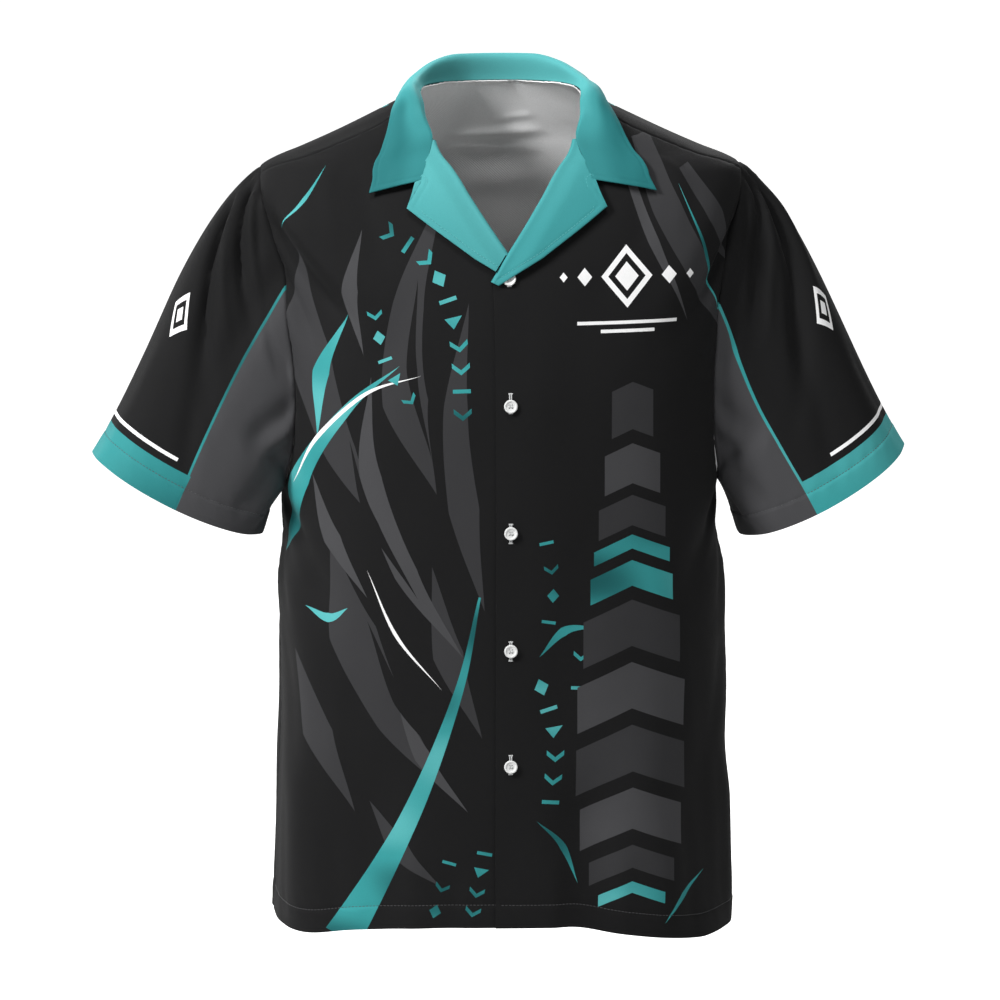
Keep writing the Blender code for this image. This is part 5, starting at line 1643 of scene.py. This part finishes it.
HOLE_CUT = (-2.0, 6.0)  # the cutters' ends, behind a button and in front of it
HOLE_SIDES = 20
BUTTON_SMOOTH = 32.0
THREAD_LIES = (-0.22, 0.22)  # the two threads of a stitch through the holes
BAR_STITCH = 0.55  # between the stitches round a buttonhole
BAR_LENGTH = 1.15
BAR_RADIUS = 0.3
BAR_LIFT = 0.05  # of the bars over the cloth's face
END_BARS = (-1.5, 1.6, 0.5)  # across the ends: from, up to, step
END_BAR_GAP = 0.4
WAY_STEP = 0.5  # ahead along the cloth, to find a bar's direction
HOLE_ROW = 0.72  # from the slit to the middle of the stitches beside it
THREAD_BAR = 2.6
THREAD_HEIGHT = 1.72
THREAD_WIDTH = 0.24


def seat_of(z):
    """The button's seat on the top front, and the directions across, up and out of it."""
    girth, run = front_place(0.0, z)
    lift = CLOTH + OVERLAP_GAP + CLOTH / 2 + BUTTON_GAP + float(drape(girth, run))
    seat = body(girth, run, lift)
    out = normals_of(plain_body, np.array([girth]), np.array([run]))[0]
    across = unit(np.cross(UP, out) * -1.0)
    return seat, across, np.cross(out, across), out


def turned_profile(name, profile, sides, material):
    """A closed body turned about Z from a profile that starts and ends on the axis."""
    points = [(0.0, 0.0, profile[0][1])]
    faces, rings = [], []
    for radius, height in profile[1:-1]:
        rings.append(range(len(points), len(points) + sides))
        for turn in np.arange(sides) * 2 * math.pi / sides:
            points.append((radius * math.cos(turn), radius * math.sin(turn), height))
    points.append((0.0, 0.0, profile[-1][1]))
    for side in range(sides):
        after = (side + 1) % sides
        faces.append((0, rings[0][side], rings[0][after]))
        for upper, lower in zip(rings, rings[1:]):
            faces.append((upper[side], lower[side], lower[after], upper[after]))
        faces.append((len(points) - 1, rings[-1][after], rings[-1][side]))
    return new_object(name, points, faces, [material], smooth_below=BUTTON_SMOOTH)


def button_mesh(material):
    """The mesh of one button with its four holes, its back on the origin."""
    button = turned_profile("button_blank", BUTTON_PROFILE, BUTTON_SIDES, material)
    radius, (low, high) = BUTTON_HOLE_RADIUS, HOLE_CUT
    cutters = []
    for corner in range(4):
        profile = ((0.0, high), (radius, high), (radius, low), (0.0, low))
        cutter = turned_profile(f"hole_cutter_{corner}", profile, HOLE_SIDES, material)
        turn = math.pi / 4 + corner * math.pi / 2
        offset = BUTTON_HOLE_OFFSET * METRE
        cutter.location = (offset * math.cos(turn), offset * math.sin(turn), 0.0)
        hole = button.modifiers.new(f"hole_{corner}", "BOOLEAN")
        hole.operation = "DIFFERENCE"
        hole.solver = "EXACT"
        hole.object = cutter
        cutters.append(cutter)
    bpy.context.view_layer.update()
    graph = bpy.context.evaluated_depsgraph_get()
    mesh = bpy.data.meshes.new_from_object(button.evaluated_get(graph))
    for thing in cutters + [button]:
        bpy.data.objects.remove(thing)
    return mesh


def placed_button(name, blank, seat, directions):
    """A copy of the button on its seat, turned to these directions across, up and out."""
    mesh = blank.copy()
    points = np.empty(len(mesh.vertices) * 3, np.float32)
    mesh.vertices.foreach_get("co", points)
    points = seat * METRE + points.reshape(-1, 3).astype(float) @ np.stack(directions)
    mesh.vertices.foreach_set("co", points.astype(np.float32).ravel())
    smooth(mesh, BUTTON_SMOOTH)
    return link(name, mesh)


def dress_buttons(resin, thread):
    blank = button_mesh(resin)
    reach = BUTTON_HOLE_OFFSET * math.sqrt(0.5)
    bars = []
    for number, z in enumerate(BUTTON_ZS, start=1):
        seat, across, up, out = seat_of(z)
        button = placed_button(f"shirt_button_{number}", blank, seat, (across, up, out))
        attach(button, "root")
        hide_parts(f"button_{number}")
        for aside in [side * reach + lie for side in (-1, 1) for lie in THREAD_LIES]:
            bars.append((seat + across * aside + out * THREAD_HEIGHT, up, out))
    STITCHES.append(tuple(np.array(part) for part in zip(*bars)))
    threads = take_stitches("button_threads", thread, THREAD_BAR, THREAD_WIDTH)
    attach(threads, "root")


def buttonhole_stitches(z, raised):
    """Middles, directions and outward directions of the stitches round one buttonhole."""
    half = BUTTONHOLE_LENGTH / 2
    sides = [
        ((side * HOLE_ROW, down), (1.0, 0.0))
        for down in np.arange(-half, half + BAR_STITCH / 2, BAR_STITCH) for side in (-1, 1)
    ]
    ends = [
        ((off, end * (half + END_BAR_GAP)), (0.0, 1.0))
        for end in (-1, 1) for off in np.arange(*END_BARS)
    ]
    places, ways = (np.array(part) for part in zip(*(sides + ends)))
    places = places + front_place(0.0, z + raised)

    def on_cloth(girth, run):
        return body(girth, run, CLOTH + OVERLAP_GAP + OUTER + BAR_LIFT + drape(girth, run))

    middle = on_cloth(*places.T)
    way = unit(on_cloth(*(places + ways * WAY_STEP).T) - middle)
    return middle, way, normals_of(plain_body, *places.T)


def dress_buttonholes(thread):
    for z, raised in zip(BUTTON_ZS, BUTTONHOLE_RAISES):
        STITCHES.append(buttonhole_stitches(z, raised))
    holes = take_stitches("buttonhole_stitches", thread, BAR_LENGTH, BAR_RADIUS)
    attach(holes, "root")


# --- materials ---

BLACK_COLOUR = (0.0053, 0.0053, 0.0056, 1.0)
CHARCOAL_COLOUR = (0.030, 0.030, 0.032, 1.0)
SLATE_COLOUR = (0.050, 0.050, 0.053, 1.0)
WHITE_COLOUR = (0.80, 0.80, 0.80, 1.0)
# dark, middle and light colours that the tone attribute runs through: random changes of the body's
# print, and painted shade on the sleeves, lapels, collar and reverse
TONE_LABELS = ("Dark", "Middle", "Light")
# the reverse's painted shade, from dark low inside the shirt to pale at the neck
REVERSE_PAINTED_SHADES = ((0.20, 0.20, 0.20, 1.0), (0.52, 0.52, 0.52, 1.0), (0.92, 0.92, 0.92, 1.0))
TEAL_TONES = ((0.006, 0.088, 0.092, 1.0), (0.030, 0.260, 0.265, 1.0), (0.080, 0.370, 0.374, 1.0))
COLLAR_TEAL = ((0.012, 0.135, 0.142, 1.0), (0.034, 0.232, 0.240, 1.0), (0.072, 0.330, 0.336, 1.0))
RESIN_COLOUR = (0.70, 0.70, 0.685, 1.0)
RESIN_SWIRL = (0.66, 0.67, 0.67, 1.0)
BLACK_THREAD = (0.030, 0.030, 0.032, 1.0)
TEAL_THREAD = (0.060, 0.33, 0.335, 1.0)
LIGHT_THREAD = (0.58, 0.59, 0.59, 1.0)
WEAVE_PITCH = 0.0007  # metres from thread to thread
TWILL_PITCH = 0.0021
WEAVE_SHADE = 0.16
WEAVE_SHADOW = 0.92  # shade at the bottom of the weave
FLOAT, COLOUR = "NodeSocketFloat", "NodeSocketColor"


class Nodes:
    """Small helper to add and join the nodes of one tree."""

    def __init__(self, tree):
        self.tree = tree

    def fill(self, node, values):
        """Gives the node's inputs these values, or joins them to these outputs."""
        for key, value in (values or {}).items():
            if isinstance(value, bpy.types.NodeSocket):
                self.tree.links.new(value, node.inputs[key])
            elif value is not None:
                node.inputs[key].default_value = value

    def add(self, kind, values=None, **settings):
        node = self.tree.nodes.new(kind)
        for key, value in settings.items():
            setattr(node, key, value)
        self.fill(node, values)
        return node

    def group(self, group, values=None):
        return self.add("ShaderNodeGroup", values, node_tree=group).outputs

    def maths(self, operation, first, second=None):
        return self.add("ShaderNodeMath", {0: first, 1: second}, operation=operation).outputs[0]

    def blend(self, share, first, second, mode="MIX"):
        values = {0: share, 6: first, 7: second}
        return self.add("ShaderNodeMix", values, data_type="RGBA", blend_type=mode).outputs[2]

    def shaded(self, colour, shade):
        """The colour made darker or lighter by this value."""
        grey = self.add("ShaderNodeCombineColor", {0: shade, 1: shade, 2: shade})
        return self.blend(1.0, colour, grey.outputs[0], "MULTIPLY")

    def noise(self, **values):
        """Noise that lies still on the object."""
        where = self.add("ShaderNodeTexCoord").outputs["Object"]
        return self.add("ShaderNodeTexNoise", {"Vector": where, **values}).outputs[0]


def new_group(name, inputs, outputs):
    """A node group with these named inputs, each as (type, default), and these outputs."""
    group = bpy.data.node_groups.new(name, "ShaderNodeTree")
    for label, (kind, default) in inputs.items():
        socket = group.interface.new_socket(label, in_out="INPUT", socket_type=kind)
        socket.default_value = default
    for label, kind in outputs.items():
        group.interface.new_socket(label, in_out="OUTPUT", socket_type=kind)
    nodes = Nodes(group)
    start, end = nodes.add("NodeGroupInput"), nodes.add("NodeGroupOutput")
    return group, nodes, start.outputs, end


def weave_group():
    """Plain weave from the cloth's flat places: height of the threads and a slight shade."""
    inputs = {"Pitch": (FLOAT, WEAVE_PITCH), "Diagonal": (FLOAT, 0.0)}
    group, nodes, start, end = new_group("plain weave", inputs, {"Height": FLOAT, "Shade": FLOAT})
    maths = nodes.maths
    places = nodes.add("ShaderNodeUVMap", uv_map="cloth").outputs[0]
    parts = nodes.add("ShaderNodeSeparateXYZ", {0: places}).outputs
    turn = maths("DIVIDE", 2 * math.pi, start["Pitch"])
    warp, weft, twill = (
        maths("SINE", maths("MULTIPLY", part, turn))
        for part in (parts[0], parts[1], maths("ADD", parts[0], parts[1]))
    )
    slanted = maths("MULTIPLY", twill, start["Diagonal"])
    square = maths("SUBTRACT", 1.0, start["Diagonal"])
    straight = maths("MULTIPLY", maths("MULTIPLY", warp, weft), square)
    height = maths("ADD", maths("MULTIPLY", maths("ADD", slanted, straight), 0.5), 0.5)
    shade = maths("ADD", maths("MULTIPLY", height, WEAVE_SHADE), WEAVE_SHADOW)
    nodes.fill(end, {"Height": height, "Shade": shade})
    return group


def mottle_group():
    """Slow uneven patches and fine lint, as a value round 1."""
    inputs = {"Amount": (FLOAT, 0.1), "Fine Amount": (FLOAT, 0.06)}
    group, nodes, start, end = new_group("soft mottling", inputs, {"Value": FLOAT, "Height": FLOAT})
    patches = nodes.noise(Scale=14.0, Detail=3.0)
    lint = nodes.noise(Scale=900.0, Detail=2.0)
    total = 1.0
    for noise, label in ((patches, "Amount"), (lint, "Fine Amount")):
        part = nodes.maths("MULTIPLY", nodes.maths("SUBTRACT", noise, 0.5), start[label])
        total = nodes.maths("ADD", part, total)
    nodes.fill(end, {"Value": total, "Height": lint})
    return group


def tone_group():
    """A colour that runs from dark to light with the tone attribute: slight random changes on the
    body's print, and painted shade on the sleeves, lapels, collar and reverse.
    """
    inputs = {label: (COLOUR, colour) for label, colour in zip(TONE_LABELS, TEAL_TONES)}
    group, nodes, start, end = new_group("running tone", inputs, {"Color": COLOUR})
    tone = nodes.add("ShaderNodeAttribute", attribute_name="tone").outputs["Fac"]
    low, high = (
        nodes.add("ShaderNodeMapRange", {"Value": tone, limit: 0.5}, interpolation_type="SMOOTHSTEP")
        for limit in ("From Max", "From Min")
    )
    first = nodes.blend(low.outputs[0], start["Dark"], start["Middle"])
    nodes.fill(end, {"Color": nodes.blend(high.outputs[0], first, start["Light"])})
    return group


def plain_colour_material(name):
    material = bpy.data.materials.new(name)
    material.use_nodes = True
    shader = material.node_tree.nodes["Principled BSDF"]
    return material, Nodes(material.node_tree), shader


def cloth_material(
    name, groups, colours, roughness, pitch=WEAVE_PITCH, diagonal=0.0, relief=0.00008,
    mottle=0.12, lint=0.10,
):
    """Woven cloth: one colour, or three that the running tone passes through."""
    material, nodes, shader = plain_colour_material(name)
    weave = nodes.group(groups["weave"], {"Pitch": pitch, "Diagonal": diagonal})
    patches = nodes.group(groups["mottle"], {"Amount": mottle, "Fine Amount": lint})["Value"]
    ground = colours[0]
    if len(colours) == 3:
        ground = nodes.group(groups["tone"], dict(zip(TONE_LABELS, colours)))["Color"]
    bump_values = {"Strength": 0.55, "Distance": relief, "Height": weave["Height"]}
    nodes.fill(shader, {
        "Base Color": nodes.shaded(ground, nodes.maths("MULTIPLY", weave["Shade"], patches)),
        "Roughness": nodes.maths("MULTIPLY", patches, roughness),
        "Normal": nodes.add("ShaderNodeBump", bump_values).outputs[0],
        "Sheen Weight": 0.02,
        "Sheen Roughness": 0.5,
        "Specular IOR Level": 0.15,
    })
    return material


def thread_material(name, groups, colour):
    material, nodes, shader = plain_colour_material(name)
    patches = nodes.group(groups["mottle"], {"Amount": 0.25, "Fine Amount": 0.45})["Value"]
    base = nodes.shaded(colour, patches)
    nodes.fill(shader, {"Base Color": base, "Roughness": 0.55, "Sheen Weight": 0.2})
    return material


def resin_material(groups):
    """Cast button resin: nearly even white with faint swirls and a soft gloss."""
    material, nodes, shader = plain_colour_material("button resin")
    swirl = nodes.noise(Scale=420.0, Distortion=2.2)
    patches = nodes.group(groups["mottle"])["Value"]
    nodes.fill(shader, {
        "Base Color": nodes.blend(swirl, RESIN_COLOUR, RESIN_SWIRL),
        "Roughness": nodes.maths("MULTIPLY", patches, 0.26),
        "Coat Weight": 0.25,
    })
    return material


# --- stage ---


def aim(thing, place, target):
    """Moves the thing to its place, looking at the target."""
    thing.location = place
    thing.rotation_euler = (Vector(target) - Vector(place)).to_track_quat("-Z", "Y").to_euler()


def set_camera():
    turn, rise = math.radians(CAMERA_TURN), math.radians(CAMERA_RISE)
    back = Vector((math.sin(turn) * math.cos(rise), -math.cos(turn) * math.cos(rise), math.sin(rise)))
    camera = bpy.data.cameras.new("camera")
    camera.sensor_width = SENSOR
    camera.lens = SENSOR * CAMERA_DISTANCE / VIEW_WIDTH
    camera.clip_end = 60.0
    holder = link("camera", camera)
    aim(holder, Vector(CAMERA_TARGET) + back * CAMERA_DISTANCE, CAMERA_TARGET)
    bpy.context.scene.camera = holder


# place, size, power
LIGHTS = (
    ((-3.1, -1.7, 2.3), 0.9, 250), ((2.8, -2.4, 0.6), 2, 20), ((-0.3, -1.3, 3), 0.8, 62),
    ((1.2, 3, 2.2), 1.8, 95), ((-2.6, 2, 0.4), 1.6, 40),
)
SKY_SEEN = 1.0
SKY_LIGHT = 0.13
FLOOR_GLOW = 1.0
LIGHT_TARGET = (0.0, 0.0, -0.3)
FLOOR_HALF = 30.0  # metres
FLOOR_COLOUR = (0.62, 0.62, 0.62, 1.0)
PURE_WHITE = (1.0, 1.0, 1.0, 1.0)


def when_seen(nodes, strength):
    """The strength where the camera sees a surface itself, and nothing in the light it gives."""
    return nodes.maths("MULTIPLY", nodes.add("ShaderNodeLightPath").outputs["Is Camera Ray"], strength)


def set_lights():
    for number, (place, size, power) in enumerate(LIGHTS):
        light = bpy.data.lights.new(f"softbox_{number}", "AREA")
        light.size = size
        light.energy = power
        aim(link(f"softbox_{number}", light), place, LIGHT_TARGET)
    world = bpy.data.worlds.new("studio")
    world.use_nodes = True
    # The studio is seen as white, and lights the cloth less than that.
    nodes = Nodes(world.node_tree)
    strength = nodes.maths("ADD", when_seen(nodes, SKY_SEEN - SKY_LIGHT), SKY_LIGHT)
    nodes.fill(world.node_tree.nodes["Background"], {"Color": PURE_WHITE, "Strength": strength})
    bpy.context.scene.world = world


def set_floor():
    corners = [(*corner, FLOOR_Z) for corner in block(0.0, FLOOR_HALF, -FLOOR_HALF, FLOOR_HALF)]
    material, nodes, shader = plain_colour_material("pale floor")
    floor = new_object("studio_floor", np.array(corners) / METRE, [(0, 1, 2, 3)], [material])
    # The floor is seen brighter than it lights the cloth.
    nodes.fill(shader, {
        "Base Color": FLOOR_COLOUR,
        "Roughness": 0.9,
        "Emission Color": PURE_WHITE,
        "Emission Strength": when_seen(nodes, FLOOR_GLOW),
    })


NODE_OF = {
    "back_panel": "back",
    "left_front": "front_left",
    "right_front": "front_right",
    "left_sleeve": "sleeve_left",
    "right_sleeve": "sleeve_right",
    "camp_collar": "collar",
    "left_lapel": "lapel_left",
    "right_lapel": "lapel_right",
}


def dress_shirt():
    groups = {"weave": weave_group(), "mottle": mottle_group(), "tone": tone_group()}
    inks = [
        cloth_material("black cloth", groups, (BLACK_COLOUR,), 0.80),
        cloth_material("charcoal print", groups, (CHARCOAL_COLOUR,), 0.80),
        cloth_material("slate print", groups, (SLATE_COLOUR,), 0.80),
        cloth_material("teal print", groups, TEAL_TONES, 0.66),
        cloth_material("white print", groups, (WHITE_COLOUR,), 0.78),
        cloth_material(
            "reverse cloth", groups, REVERSE_PAINTED_SHADES, 0.85, TWILL_PITCH, 1.0, 0.00025, 0.10, 0.16
        ),
    ]
    teal_inks = list(inks)
    teal_inks[TEAL] = cloth_material("collar cloth", groups, COLLAR_TEAL, 0.68)
    black_thread = thread_material("black thread", groups, BLACK_THREAD)
    teal_thread = thread_material("teal thread", groups, TEAL_THREAD)
    light_thread = thread_material("light thread", groups, LIGHT_THREAD)
    dress_back(inks, black_thread)
    dress_fronts(inks, black_thread)
    dress_sleeve("left_sleeve", "sleeve_left", 1, inks, black_thread)
    dress_sleeve("right_sleeve", "sleeve_right", -1, inks, black_thread)
    dress_lapel("left_lapel", False, teal_inks, teal_thread)
    dress_lapel("right_lapel", True, teal_inks, teal_thread)
    dress_collar(teal_inks, teal_thread)
    dress_buttonholes(light_thread)
    dress_buttons(resin_material(groups), light_thread)


set_camera()
set_lights()
set_floor()
bpy.context.scene.view_settings.view_transform = "Standard"
dress_shirt()
